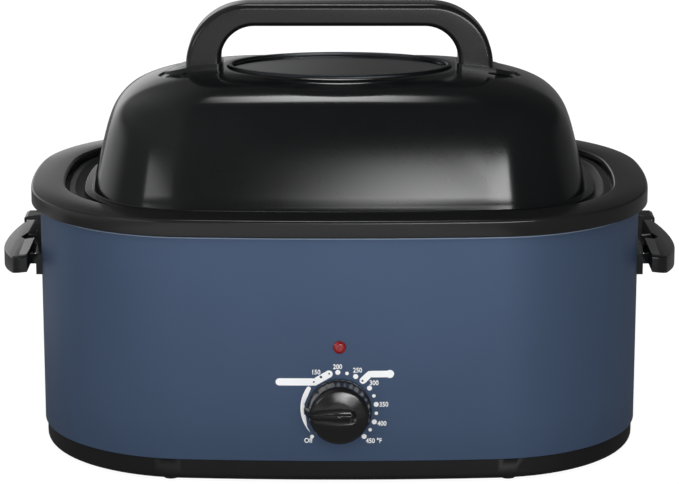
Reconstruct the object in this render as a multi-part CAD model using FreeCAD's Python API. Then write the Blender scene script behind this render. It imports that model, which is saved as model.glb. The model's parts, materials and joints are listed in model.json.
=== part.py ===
"""Electric roaster oven with a lift-off domed lid, a removable pan and a wire rack.

Millimetres. X runs across the front (controls at -Y), Z is up, and the origin is on
the surface that the oven stands on, under the middle of the body.

Most pieces follow one plan outline: four flat bows joined by four corner arcs. A ring
piece is drawn once as a section of (offset from that outline, height) points, which is
revolved about the centre of each arc in turn.
"""
import FreeCAD, Part
import math
import os

V = FreeCAD.Vector
os.makedirs("parts", exist_ok=True)

# ---- plan outline of the body ------------------------------------------------------------
body_length = 552.0           # across the front
body_depth = 374.0            # front to back
front_bow_radius = 1900.0     # the slight bow of the front and the back
side_bow_radius = 520.0
corner_radius = 145.0

# ---- heights above the table -------------------------------------------------------------
foot_height = 3.0
base_height = 19.5            # black base band
wall_height = 210.0           # painted wall, as much as shows plus what the rim hides
rim_height = 15.0             # outer face of the rim
rim_lap = 5.0                 # the rim comes down over this much of the wall
well_depth = 171.5            # from the top of the wall to the well's underside
knob_height = 70.5            # knob axis
lens_height = 127.5           # indicator axis

# ---- sheet and moulding thicknesses ------------------------------------------------------
wall_sheet = 1.0
well_sheet = 1.0
pan_sheet = 1.5
lid_sheet = 1.5
shield_sheet = 0.8
bracket_sheet = 1.2
base_wall = 3.0
base_floor = 2.5
rim_wall = 2.5
handle_wall = 2.6

# ---- clearances --------------------------------------------------------------------------
rest_gap = 0.3                # between a piece that lifts out and what it rests on
fit_gap = 0.2                 # round a fixed piece in its hole
screw_gap = 0.2               # round a screw's shank
running_gap = 0.05            # round a turning shaft
panel_gap = 0.2               # between a flat piece and the bowed wall

# ---- base tray, feet and base screws -----------------------------------------------------
base_inset = 2.0
base_edge_radius = 6.0
foot_radius = 12.0
foot_stem_radius = 3.9
foot_barb_radius = 6.0
foot_barb_height = 2.5
foot_spacing_x = 380.0
foot_spacing_y = 240.0
wall_flange = 18.0            # width of the wall's turned-in bottom and top flanges
base_screw_inset = 10.0       # base screws, in from the outline
base_screw_spacing = 300.0    # between the two screws on the front, and on the back
base_boss_radius = 6.5
base_screw_head_recess = 1.2
vent_length = 46.0
vent_width = 4.0
vent_pitch = 10.0
vent_count = 7                # slots in each of the two groups
vent_group_x = 95.0           # group centres, either side of the middle

# ---- fasteners ---------------------------------------------------------------------------
screw_radius = 2.0
screw_head_radius = 3.9
screw_head_height = 2.6
nut_across_flats = 7.0
nut_height = 3.2
rim_screw_length = 9.0
rim_screw_inset = 11.0
rim_screw_spacing = 330.0
rim_boss_radius = 5.0
wire_sides = 8                # wires and leads are drawn with this many sides
past = 5.0                    # how far a cutter runs past the wall that it pierces
spare = 30.0                  # extra length of a block that is trimmed to the body

# ---- rim, cooking well, pan flange -------------------------------------------------------
rim_overhang = 8.0
rim_inner_inset = 23.5        # recess wall, in from the outline
rim_crown = 1.2               # the top rises this much towards the recess
rim_edge_radius = 2.2
well_inset = 44.0             # outside of the well's wall under its flange
well_flange_edge = 8.0        # outer edge of the well's flange, in from the outline
well_draft = 2.0              # how far the well narrows to its bottom
well_bottom_radius = 22.0
bead_gap = 2.5                # recess wall to the pan's bead
bead_width = 6.6
bead_height = 3.6
pan_flange_rise = 2.2         # top of the pan's flat flange above the bead's underside
pan_well_gap = 6.0            # round the pan and under it
pan_draft = 3.0
pan_bottom_radius = 19.0
pan_flange_radius = 3.0

# ---- lid ---------------------------------------------------------------------------------
lid_wall_inset = 48.0         # foot of the lid's wall, in from the outline
lid_brim_width = 7.0
lid_height = 107.3            # brim's underside to the top of the crown
lid_draft = 0.25              # inward slope of the wall, mm per mm
lid_shoulder_x = 93.0         # how far the shoulder and crown run in at the ends
lid_shoulder_y = 47.0         # and at the front and back
lid_shoulder_power = 8.5      # a higher power keeps the wall straight for longer
lid_shoulder_roll = 1.2       # a lower power starts the slope nearer to the window
lid_top_corner_radius = 46.0
lid_top_front_radius = 185.0
lid_top_side_radius = 60.0
lid_sections = (0.0, 0.07, 0.15, 0.3, 0.45, 0.6, 0.72, 0.82, 0.9, 0.95, 0.98, 0.995, 1.0)
lid_skirt_gap = 1.0           # between the locating skirt and the pan's wall
lid_skirt_depth = 7.0

# ---- lid window --------------------------------------------------------------------------
window_half_length = 98.5     # clear glass
window_half_depth = 57.0
window_bezel_width = 5.3
window_bezel_height = 2.0
window_seat = 1.8             # glass under the bezel
glass_thickness = 3.2
gasket_thickness = 0.8
retainer_thickness = 1.2
retainer_width = 6.5

# ---- lid handle --------------------------------------------------------------------------
handle_window_gap = 3.6       # between a pad and the window's bezel
handle_rise = 59.3            # top of the bar above the lid's crown
handle_bar = 20.7             # thickness of the bar
handle_leg = 32.1             # width of a leg
handle_depth = 32.0           # front to back
handle_lean = 2.0             # how far a leg leans in by the top
handle_outer_radius = 57.0
handle_inner_radius = 31.0
handle_edge_radius = 5.0
pad_thickness = 5.0           # heat pad between the lid and a foot of the handle
pad_margin = 2.0
pad_nose = 20.0               # the pad's pointed end runs this far out past the leg
pad_nose_thickness = 1.0
foot_depth = 20.0             # feet and pads are drawn this far below the crown, then cut
handle_screw_depth = 16.0
washer_radius = 6.0
washer_thickness = 1.0

# ---- side handles ------------------------------------------------------------------------
plate_half_width = 55.0
plate_drop = 54.5             # top of the back plate, down from the top of the wall
plate_height = 19.0
plate_thickness = 5.4
grip_inner = 8.0              # grip's inner edge, out from the end of the body
grip_reach = 36.5             # grip's outer edge, out from the end of the body
grip_half_width = 81.0
grip_corner_radius = 12.0
grip_bow_radius = 150.0       # bow of the grip's outer edge in plan
grip_above_plate = 5.4
grip_height = 15.2
grip_droop = 7.5              # the grip's outer edge is this much lower
grip_edge_radius = 2.5
notch_half_width = 12.5
notch_depth = 14.0
hook_half_width = 12.0
hook_above_plate = 25.6
hook_thickness = 3.5
hook_reach = 17.1
hook_lip = 2.2                # the outer edge turns down by this much
hook_lip_thickness = 2.0
hook_bevel = 3.0              # width of the bevel along the outer edge
hook_bevel_drop = 1.5
rib_thickness = 3.0
side_screw_spacing = 56.0
side_screw_rise = 9.0         # above the plate's lower edge
side_screw_proud = 1.5

# ---- knob and thermostat -----------------------------------------------------------------
knob_skirt_radius = 28.5
knob_skirt_height = 4.0
knob_body_radius = 26.8
knob_length = 24.0            # from the wall to the face
knob_wall_gap = 1.4
knob_notches = 30
knob_notch_width = 3.4
knob_notch_depth = 1.0
knob_crown = 2.6              # the face rises this much from its edge to its middle
knob_edge_radius = 5.0
knob_taper = 0.8              # the body narrows by this much on each side of its mean radius
bar_root_width = 4.2          # grip bar where it meets the pointer
bar_tip_width = 3.4           # and at its round end
bar_reach = 11.5              # how far the bar runs past the axis
bar_groove_width = 7.0        # finger grooves on both sides of the bar
bar_groove_depth = 3.5
pointer_reach = 31.3
pointer_root_width = 8.6
pointer_tip_width = 5.0
pointer_clear_angle = 17.0    # degrees either side of the pointer without a notch
shaft_radius = 3.0
shaft_flat = 0.8
shaft_in_body = 12.0
shaft_in_knob = 14.0
bush_radius = 4.8
bush_length = 6.0
bush_nut_flats = 13.0
bush_nut_height = 2.4
thermostat_width = 36.0
thermostat_depth = 25.0
thermostat_height = 34.0
bulb_radius = 3.0
bulb_length = 70.0
bulb_above_band = 18.0
capillary_radius = 1.0
capillary_bend = 9.0
capillary_entry = 10.0        # above the knob's axis

# ---- heater, insulation, electrical pieces -----------------------------------------------
band_thickness = 1.6
band_rise = 27.0              # above the well's underside
band_height = 34.0
band_gap_width = 30.0
clamp_lug = 4.0
clamp_lug_reach = 12.0        # how far the clamp's lugs stand out from the band
clamp_lug_height = 24.0
stud_places = (30.0, 44.0)    # the band's two terminals, to the right of the knob
stud_rise = 27.0              # above the band's lower edge
stud_radius = 1.6
stud_bead_radius = 4.0
stud_length = 6.0
insulation_gap = 2.0
insulation_thickness = 24.0
insulation_drop = 6.5         # its top, down from the top of the wall
insulation_window = 100.0     # front opening for the thermostat and the lamp
insulation_window_rise = 17.5  # top of that opening, above the sensor bulb and the lamp
lens_radius = 5.7
lens_dome = 2.6
lens_flange = 1.0
lens_stem_radius = 4.0
lens_stem_length = 9.0
lamp_radius = 2.6
lamp_length = 14.0
gland_height = 45.0
gland_bore = 3.7              # grips the cord outside the wall
gland_throat = 4.4            # wider passage through the wall
gland_step = 0.5              # the narrow part starts this far outside the wall
gland_lip = 2.5               # thickness of the collar's end
gland_body_radius = 7.5
gland_flange_radius = 11.0
gland_flange = 3.0
gland_collar = 5.0
gland_length = 14.0
gland_nut_flats = 20.0
gland_nut_height = 4.0
block_size = (40.0, 12.0, 18.0)
block_x = 70.0
lead_radius = 2.2
lead_inset = 9.0
lead_height = 34.0
lead_bend = 12.0

# ---- wire rack ---------------------------------------------------------------------------
rack_inset = 66.0
rack_frame_radius = 2.5
rack_bar_radius = 1.6
rack_bar_pitch = 26.0
rack_bar_count = 15
rack_clearance = 11.0         # grid above the pan's floor
rack_runner_spacing = 130.0
rack_runner_inset = 40.0
rack_lift_height = 70.0
rack_lift_width = 84.0
rack_lift_bend = 12.0

# ---- heights that follow -----------------------------------------------------------------
base_top = foot_height + base_height
wall_top = base_top + wall_height
flange_top = wall_top + well_sheet             # top of the well's flange
rim_bottom = wall_top - rim_lap
rim_top = rim_bottom + rim_height
bead_bottom = flange_top + rest_gap
pan_flange_top = bead_bottom + pan_flange_rise
brim_bottom = pan_flange_top + rest_gap
crown_top = brim_bottom + lid_height
bead_edge = -(rim_inner_inset + bead_gap)
well_inner = -(well_inset + well_sheet)
well_bottom = wall_top - well_depth
pan_outer = well_inner - pan_well_gap
pan_bottom = well_bottom + well_sheet + pan_well_gap
pan_floor = pan_bottom + pan_sheet
band_bottom = well_bottom + band_rise
band_top = band_bottom + band_height
bulb_height = band_top + bulb_above_band
plate_top = wall_top - plate_drop
plate_bottom = plate_top - plate_height
grip_top = plate_top + grip_above_plate
hook_top = plate_top + hook_above_plate
side_screw_height = plate_bottom + side_screw_rise
half_length = body_length / 2
half_depth = body_depth / 2
front_face = -half_depth
body_setback = (knob_length - gland_flange - gland_collar) / 2  # centres knob and gland front to back
handle_half_span = (window_half_length + window_bezel_width + handle_window_gap
                    + pad_margin + handle_leg)


# ---- the outline and the pieces swept round it -------------------------------------------
def outline_arcs(a, b, front_r, corner_r, side_r):
    """Eight arcs (centre x, centre y, radius, start angle, end angle), anticlockwise."""
    front_c = b - front_r
    side_c = a - side_r
    span = math.hypot(side_c, front_c)
    to_front = front_r - corner_r
    to_side = side_r - corner_r
    along = (to_front**2 - to_side**2 + span**2) / (2 * span)
    across = math.sqrt(to_front**2 - along**2)
    ex = side_c / span
    ey = -front_c / span
    cx = along * ex + across * ey
    cy = front_c + along * ey - across * ex
    if cy < 0 or cx < 0:
        cx = along * ex - across * ey
        cy = front_c + along * ey + across * ex
    side_end = math.atan2(cy, cx - side_c)
    front_start = math.atan2(cy - front_c, cx)
    pi = math.pi
    return (
        (side_c, 0, side_r, -side_end, side_end),
        (cx, cy, corner_r, side_end, front_start),
        (0, front_c, front_r, front_start, pi - front_start),
        (-cx, cy, corner_r, pi - front_start, pi - side_end),
        (-side_c, 0, side_r, pi - side_end, pi + side_end),
        (-cx, -cy, corner_r, pi + side_end, pi + front_start),
        (0, -front_c, front_r, pi + front_start, 2 * pi - front_start),
        (cx, -cy, corner_r, 2 * pi - front_start, 2 * pi - side_end),
    )


body_arcs = outline_arcs(half_length, half_depth, front_bow_radius, corner_radius, side_bow_radius)


def arc_point(arc, angle, offset, z):
    cx, cy, r = arc[:3]
    return V(cx + (r + offset) * math.cos(angle), cy + (r + offset) * math.sin(angle), z)


def wire_from_arcs(arcs, offset, z):
    edges = []
    for arc in arcs:
        a0, a1 = arc[3:]
        points = [arc_point(arc, a, offset, z) for a in (a0, (a0 + a1) / 2, a1)]
        edges.append(Part.Arc(*points).toShape())
    return Part.Wire(edges)


def body_prism(offset, z0, z1):
    """A slab with the body's outline, offset outward, between two heights."""
    return Part.Face(wire_from_arcs(body_arcs, offset, z0)).extrude(V(0, 0, z1 - z0))


def section_wire(points):
    """A closed section in the XZ plane from (x, z, corner radius) points."""
    count = len(points)
    starts, ends, mids = [], [], []
    for i, (x, z, r) in enumerate(points):
        px, pz = points[i - 1][:2]
        nx, nz = points[(i + 1) % count][:2]
        ux, uz = px - x, pz - z
        wx, wz = nx - x, nz - z
        lu, lw = math.hypot(ux, uz), math.hypot(wx, wz)
        ux, uz, wx, wz = ux / lu, uz / lu, wx / lw, wz / lw
        turn = math.acos(max(-1, min(1, ux * wx + uz * wz)))
        cut = r / math.tan(turn / 2) if r else 0
        starts.append(V(x + ux * cut, 0, z + uz * cut))
        ends.append(V(x + wx * cut, 0, z + wz * cut))
        if r:
            bx, bz = ux + wx, uz + wz
            lb = math.hypot(bx, bz)
            reach = r / math.sin(turn / 2) - r
            mids.append(V(x + bx / lb * reach, 0, z + bz / lb * reach))
        else:
            mids.append(None)
    edges = []
    for i in range(count):
        if mids[i]:
            edges.append(Part.Arc(starts[i], mids[i], ends[i]).toShape())
        following = starts[(i + 1) % count]
        if ends[i].distanceToPoint(following) > 1e-6:
            edges.append(Part.LineSegment(ends[i], following).toShape())
    return Part.Wire(edges)


def sector(section, arc, a0, a1):
    """Revolve a section of (offset, z) about an arc's centre from one angle to another."""
    cx, cy, r = arc[:3]
    face = Part.Face(section)
    face.translate(V(r, 0, 0))
    face.rotate(V(0, 0, 0), V(0, 0, 1), math.degrees(a0))
    face.translate(V(cx, cy, 0))
    return face.revolve(V(cx, cy, 0), V(0, 0, 1), math.degrees(a1 - a0))


def body_ring(points):
    """A section of (offset, z, corner radius) points carried all round the outline."""
    section = section_wire(points)
    pieces = [sector(section, arc, arc[3], arc[4]) for arc in body_arcs]
    return pieces[0].multiFuse(pieces[1:]).removeSplitter()


def rectangle(out0, z0, out1, z1):
    return ((out0, z0, 0), (out1, z0, 0), (out1, z1, 0), (out0, z1, 0))


def cylinder(radius, start, end):
    axis = end - start
    return Part.makeCylinder(radius, axis.Length, start, axis)


def box(x0, x1, y0, y1, z0, z1):
    return Part.makeBox(x1 - x0, y1 - y0, z1 - z0, V(x0, y0, z0))


def turned(points, origin, axis):
    """Revolve (radius, distance along the axis, corner radius) points about an axis."""
    solid = Part.Face(section_wire(points)).revolve(V(0, 0, 0), V(0, 0, 1), 360)
    solid.Placement = FreeCAD.Placement(origin, FreeCAD.Rotation(V(0, 0, 1), axis))
    return solid


def polygon(sides, flats, origin, normal, turn=0.0):
    """A regular polygon face across its flats, centred on a point."""
    reach = flats / 2 / math.cos(math.pi / sides)
    angles = [2 * math.pi * i / sides + turn for i in range(sides + 1)]
    wire = Part.makePolygon([V(reach * math.cos(a), reach * math.sin(a), 0) for a in angles])
    face = Part.Face(wire)
    face.Placement = FreeCAD.Placement(origin, FreeCAD.Rotation(V(0, 0, 1), normal))
    return face


def hexagon(flats, height, origin, axis, hole):
    nut = polygon(6, flats, origin, axis).extrude(axis * height)
    return nut.cut(cylinder(hole, origin, origin + axis * height))


def rod(radius, start, end):
    """A straight wire, drawn with eight sides."""
    return polygon(wire_sides, radius * 2, start, end - start, math.pi / wire_sides).extrude(end - start)


def screw(origin, axis, length):
    """A screw with a coned head above the origin, against the axis, and its shank along it."""
    line = ((0, -screw_head_height, 0), (screw_head_radius * 0.6, -screw_head_height, 0),
            (screw_head_radius, -screw_head_height * 0.45, 0), (screw_head_radius, 0, 0),
            (screw_radius, 0, 0), (screw_radius, length, 0), (0, length, 0))
    return turned(line, origin, axis)


def fused(shapes):
    return shapes[0].multiFuse(shapes[1:]).removeSplitter()


def mirrored(shape):
    return shape.mirror(V(0, 0, 0), V(1, 0, 0))


def save(name, shapes):
    """Write one node; a group of separate solids goes in as a compound."""
    shape = shapes if isinstance(shapes, Part.Shape) else Part.makeCompound(shapes)
    shape = shape.translated(V(0, body_setback, 0))
    shape.exportStep("parts/" + name + ".step")
    solids = shape.Solids
    volume = sum(s.Volume for s in solids) / 1000
    print(f"{name:22s} {len(solids):3d} solids {volume:9.2f} cm3 valid {shape.isValid()}")
    return shape


# ---- where repeated pieces sit -----------------------------------------------------------
def outline_y(x, offset):
    """Half depth of the body's outline at x on the flat bow of the front and the back."""
    r = front_bow_radius + offset
    return half_depth - front_bow_radius + math.sqrt(r * r - x * x)


def outline_x(y, offset):
    r = side_bow_radius + offset
    return half_length - side_bow_radius + math.sqrt(r * r - y * y)


def outline_reach_y(x, inset):
    """Half depth of the body's outline at any x, corners included."""
    for cx, cy, r, a0, a1 in body_arcs[:3]:
        radius = r - inset
        if abs(x - cx) <= radius:
            angle = math.acos((x - cx) / radius)
            if a0 - 1e-9 <= angle <= a1 + 1e-9:
                return cy + radius * math.sin(angle)
    return 0.0


def perimeter_points(inset, spacing):
    """Two points on the front, two on the back and one at each end."""
    x = spacing / 2
    y = outline_reach_y(x, inset)
    end = half_length - inset
    return [(x, y), (-x, y), (-x, -y), (x, -y), (end, 0), (-end, 0)]


foot_places = [(sx * foot_spacing_x / 2, sy * foot_spacing_y / 2) for sx in (-1, 1) for sy in (-1, 1)]
base_screw_places = perimeter_points(base_screw_inset, base_screw_spacing)
base_head_seat = foot_height + base_screw_head_recess + screw_head_height


# ---- base --------------------------------------------------------------------------------
def make_base_tray():
    inner = -(base_inset + base_wall)
    floor_top = foot_height + base_floor
    rim_line = (
        (-base_inset, foot_height, base_edge_radius), (-base_inset, base_top, 0),
        (inner, base_top, 0), (inner, floor_top, base_edge_radius / 2),
        (-wall_flange * 2, floor_top, 0), (-wall_flange * 2, foot_height, 0),
    )
    tray = body_ring(rim_line).fuse(body_prism(-wall_flange * 2, foot_height, floor_top))
    for x, y in base_screw_places:
        tray = tray.fuse(cylinder(base_boss_radius, V(x, y, foot_height), V(x, y, base_top)))
    tray = tray.removeSplitter()
    for x, y in base_screw_places:
        head_radius = screw_head_radius + screw_gap
        tray = tray.cut(cylinder(head_radius, V(x, y, 0), V(x, y, base_head_seat)))
        tray = tray.cut(cylinder(screw_radius + screw_gap, V(x, y, 0), V(x, y, base_top + 1)))
    for x, y in foot_places:
        tray = tray.cut(cylinder(foot_stem_radius + fit_gap / 2, V(x, y, 0), V(x, y, base_top)))
    slots = []
    for side in (-1, 1):
        for i in range(vent_count):
            y = (i - (vent_count - 1) / 2) * vent_pitch
            x = side * vent_group_x
            slots.append(box(x - vent_length / 2, x + vent_length / 2, y - vent_width / 2,
                             y + vent_width / 2, 0, base_top))
    return tray.cut(Part.makeCompound(slots))


def make_foot(x, y):
    floor_top = foot_height + base_floor
    line = (
        (0, 0, 0), (foot_radius - 1, 0, 0), (foot_radius, foot_height, 0),
        (foot_stem_radius, foot_height, 0), (foot_stem_radius, floor_top, 0),
        (foot_barb_radius, floor_top, 0), (foot_stem_radius, floor_top + foot_barb_height, 0),
        (0, floor_top + foot_barb_height, 0),
    )
    return turned(line, V(x, y, 0), V(0, 0, 1))


shield_top = base_top + wall_sheet + shield_sheet
save("base_tray", make_base_tray())
save("rubber_feet", [make_foot(x, y) for x, y in foot_places])
base_screw_length = shield_top + nut_height + 1.5 - base_head_seat
save("base_screws", [screw(V(x, y, base_head_seat), V(0, 0, 1), base_screw_length)
                     for x, y in base_screw_places])
save("base_nuts", [hexagon(nut_across_flats, nut_height, V(x, y, shield_top), V(0, 0, 1),
                           screw_radius + running_gap) for x, y in base_screw_places])


def make_heat_shield():
    """A flat plate on the wall's bottom flange, pressed up under the well for stiffness."""
    emboss_rise = 6.0
    emboss_inset = 70.0
    line = (
        (-(wall_sheet + fit_gap), base_top + wall_sheet, 0),
        (-(wall_sheet + fit_gap), shield_top, 0),
        (-emboss_inset, shield_top, 2), (-emboss_inset - emboss_rise, shield_top + emboss_rise, 2),
        (-emboss_inset - 15, shield_top + emboss_rise, 0),
        (-emboss_inset - 15, shield_top + emboss_rise - shield_sheet, 0),
        (-emboss_inset - emboss_rise, shield_top + emboss_rise - shield_sheet, 1.2),
        (-emboss_inset, base_top + wall_sheet, 2.8),
    )
    plate = body_ring(line)
    top = shield_top + emboss_rise
    plate = plate.fuse(body_prism(-emboss_inset - 15, top - shield_sheet, top)).removeSplitter()
    for x, y in base_screw_places:
        plate = plate.cut(cylinder(screw_radius + screw_gap, V(x, y, base_top), V(x, y, top)))
    return plate


save("heat_shield", make_heat_shield())

# ---- painted wall ------------------------------------------------------------------------
rim_screw_places = perimeter_points(rim_screw_inset, rim_screw_spacing)
side_screw_places = [(y, side_screw_height) for y in (-side_screw_spacing / 2, side_screw_spacing / 2)]


def make_outer_wall():
    """Sheet wrap with its bottom and top edges turned in."""
    line = (
        (0, base_top, 0), (0, wall_top, 0), (-wall_flange, wall_top, 0),
        (-wall_flange, wall_top - wall_sheet, 0), (-wall_sheet, wall_top - wall_sheet, 0),
        (-wall_sheet, base_top + wall_sheet, 0), (-wall_flange, base_top + wall_sheet, 0),
        (-wall_flange, base_top, 0),
    )
    wall = body_ring(line)
    holes = []
    for x, y in base_screw_places:
        holes.append(cylinder(screw_radius + screw_gap, V(x, y, base_top - past), V(x, y, base_top + past)))
    for x, y in rim_screw_places:
        holes.append(cylinder(screw_radius + screw_gap, V(x, y, wall_top - past), V(x, y, wall_top + past)))
    for y, z in side_screw_places:
        for side in (-1, 1):
            holes.append(cylinder(screw_radius + screw_gap, V(side * (half_length - 4 * past), y, z),
                                  V(side * (half_length + past), y, z)))
    inside = front_face + 2 * past
    outside = front_face - past
    bush_hole = bush_radius + fit_gap
    holes.append(cylinder(bush_hole, V(0, inside, knob_height), V(0, outside, knob_height)))
    stem_hole = lens_stem_radius + fit_gap
    holes.append(cylinder(stem_hole, V(0, inside, lens_height), V(0, outside, lens_height)))
    gland_hole = gland_body_radius + fit_gap
    holes.append(cylinder(gland_hole, V(0, -inside, gland_height), V(0, -outside, gland_height)))
    return wall.cut(Part.makeCompound(holes))


save("outer_wall", make_outer_wall())

# ---- rim, well and what is wrapped round the well ----------------------------------------
rim_screw_head = wall_top - wall_sheet


def make_rim_bezel():
    """A moulded channel that caps the wall; bosses take the screws that hold the well."""
    crown = rim_top + rim_crown
    slope = rim_crown / (rim_overhang + rim_inner_inset)
    inner_face = -rim_inner_inset
    line = (
        (rim_overhang, rim_bottom, 0), (rim_overhang, rim_top, rim_edge_radius),
        (inner_face, crown, rim_edge_radius), (inner_face, flange_top, 0),
        (inner_face + rim_wall, flange_top, 0), (inner_face + rim_wall, crown - rim_wall, 0),
        (rim_overhang - rim_wall, rim_top - rim_wall + slope * rim_wall, 0),
        (rim_overhang - rim_wall, rim_bottom, 0),
    )
    ring = body_ring(line)
    bosses = []
    for x, y in rim_screw_places:
        bosses.append(cylinder(rim_boss_radius, V(x, y, flange_top), V(x, y, rim_top - rim_wall / 2)))
    ring = ring.fuse(Part.makeCompound(bosses))
    for x, y in rim_screw_places:
        tip = rim_screw_head + rim_screw_length + rest_gap
        ring = ring.cut(cylinder(screw_radius + running_gap, V(x, y, flange_top - past), V(x, y, tip)))
    return ring.removeSplitter()


def make_cooking_well():
    floor_top = well_bottom + well_sheet
    foot_out = -(well_inset + well_draft)
    flat = -(well_inset + well_draft + well_bottom_radius + 10)
    line = (
        (-well_flange_edge, wall_top, 0), (-well_flange_edge, flange_top, 0),
        (well_inner, flange_top, 2.5), (foot_out - well_sheet, floor_top, well_bottom_radius - 1),
        (flat, floor_top, 0), (flat, well_bottom, 0), (foot_out, well_bottom, well_bottom_radius),
        (-well_inset, wall_top, 1.5),
    )
    well = body_ring(line).fuse(body_prism(flat, well_bottom, floor_top)).removeSplitter()
    for x, y in rim_screw_places:
        well = well.cut(cylinder(screw_radius + screw_gap, V(x, y, wall_top - past),
                                 V(x, y, wall_top + past)))
    return well


def well_offset(z):
    """Outside of the well's wall at a height."""
    fraction = (wall_top - z) / (wall_top - well_bottom)
    return -(well_inset + well_draft * fraction)


band_inner = well_offset(band_top) + fit_gap
band_outer = band_inner + band_thickness


def make_heating_band():
    """Element strip round the well, open at the back where its clamp pulls it tight."""
    ring = body_ring(rectangle(band_inner, band_bottom, band_outer, band_top))
    gap = box(-band_gap_width / 2, band_gap_width / 2, 0, half_depth, 0, wall_top)
    return ring.cut(gap)


def make_band_clamp():
    """Two lugs on the band's ends, drawn together by a screw."""
    middle = (band_bottom + band_top) / 2
    half = band_gap_width / 2
    y0 = outline_y(0, band_inner) + fit_gap
    y1 = outline_y(0, band_outer) + clamp_lug_reach
    low = middle - clamp_lug_height / 2
    pieces = [cylinder(screw_radius, V(-half, y1 - past, middle), V(half, y1 - past, middle))]
    for x0 in (-half, half - clamp_lug):
        pieces.append(box(x0, x0 + clamp_lug, y0, y1, low, low + clamp_lug_height))
    return fused(pieces)


def make_insulation():
    inner = band_outer + insulation_gap
    outer = inner + insulation_thickness
    ring = body_ring(rectangle(inner, shield_top, outer, wall_top - insulation_drop))
    window = box(-insulation_window / 2, insulation_window / 2, -half_depth, 0,
                 0, max(lens_height, bulb_height) + insulation_window_rise)
    back_gap = box(-band_gap_width, band_gap_width, 0, half_depth, 0, band_top + 2 * past)
    return ring.cut(window).cut(back_gap)


def make_band_terminals():
    """Two studs with ceramic beads on the front of the band."""
    pieces = []
    for x in stud_places:
        seat = V(x, -outline_y(x, band_outer) - running_gap * 2, band_bottom + stud_rise)
        step = V(0, -stud_length, 0)
        bead = cylinder(stud_bead_radius, seat, seat + step)
        pieces.append(bead.fuse(cylinder(stud_radius, seat + step, seat + step * 2)))
    return pieces


save("rim_bezel", make_rim_bezel())
save("cooking_well", make_cooking_well())
save("rim_screws", [screw(V(x, y, rim_screw_head), V(0, 0, 1), rim_screw_length)
                    for x, y in rim_screw_places])
save("heating_band", make_heating_band())
save("band_clamp", make_band_clamp())
save("band_terminals", make_band_terminals())
save("well_insulation", make_insulation())

# ---- thermostat, sensor and knob ---------------------------------------------------------
bracket_front = front_face + wall_sheet + panel_gap
thermostat_front = bracket_front + bracket_sheet
thermostat_back = thermostat_front + thermostat_depth
toward_front = V(0, -1, 0)
knob_back = front_face - knob_wall_gap
knob_face = front_face - knob_length


def make_thermostat_body():
    half = thermostat_width / 2
    low = knob_height - thermostat_height / 2
    body = box(-half, half, thermostat_front, thermostat_back, low, low + thermostat_height)
    upright = [e for e in body.Edges if abs(e.tangentAt(e.FirstParameter).z) > 0.9]
    body = body.makeFillet(3.0, upright)
    bush_end = front_face - bush_length
    body = body.fuse(cylinder(bush_radius, V(0, thermostat_front, knob_height),
                              V(0, bush_end, knob_height)))
    bore_end = thermostat_front + shaft_in_body + 0.5
    return body.cut(cylinder(shaft_radius + running_gap, V(0, bore_end, knob_height),
                             V(0, bush_end - 1, knob_height)))


def make_thermostat_bracket():
    """Plate behind the wall with ears turned back over the thermostat's sides."""
    half = thermostat_width / 2 + 0.5
    low = knob_height - thermostat_height / 2 + 4
    high = knob_height + thermostat_height / 2 - 4
    wide = half + bracket_sheet
    plate = box(-wide, wide, bracket_front, thermostat_front, low, high)
    for side in (-1, 1):
        x0, x1 = sorted((side * half, side * wide))
        plate = plate.fuse(box(x0, x1, bracket_front, thermostat_front + 10, low, high))
    plate = plate.removeSplitter()
    return plate.cut(cylinder(bush_radius + fit_gap, V(0, front_face, knob_height),
                              V(0, thermostat_front + 0.01, knob_height)))


def bar_plan(grow, depth):
    """Plan of the grip bar at a depth behind the middle of the face, grown on three sides."""
    root = bar_root_width / 2 + grow
    tip = bar_tip_width / 2 + grow
    left = -knob_skirt_radius
    end = bar_reach - bar_tip_width / 2
    y = knob_face + depth
    z = knob_height
    points = [V(left, y, z + root), V(end, y, z + tip), V(end + tip, y, z), V(end, y, z - tip),
              V(left, y, z - root)]
    return Part.Wire([
        Part.LineSegment(points[0], points[1]).toShape(), Part.Arc(*points[1:4]).toShape(),
        Part.LineSegment(points[3], points[4]).toShape(), Part.LineSegment(points[4], points[0]).toShape(),
    ])


def pointer_plan(root, reach, width, height):
    """Plan of the pointer at a height above the knob's back."""
    y = knob_back - height
    half = pointer_root_width / 2
    tip = width / 2
    corners = ((root, -half), (-reach, -tip), (-reach, tip), (root, half), (root, -half))
    return Part.makePolygon([V(x, y, knob_height + z) for x, z in corners])


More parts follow.
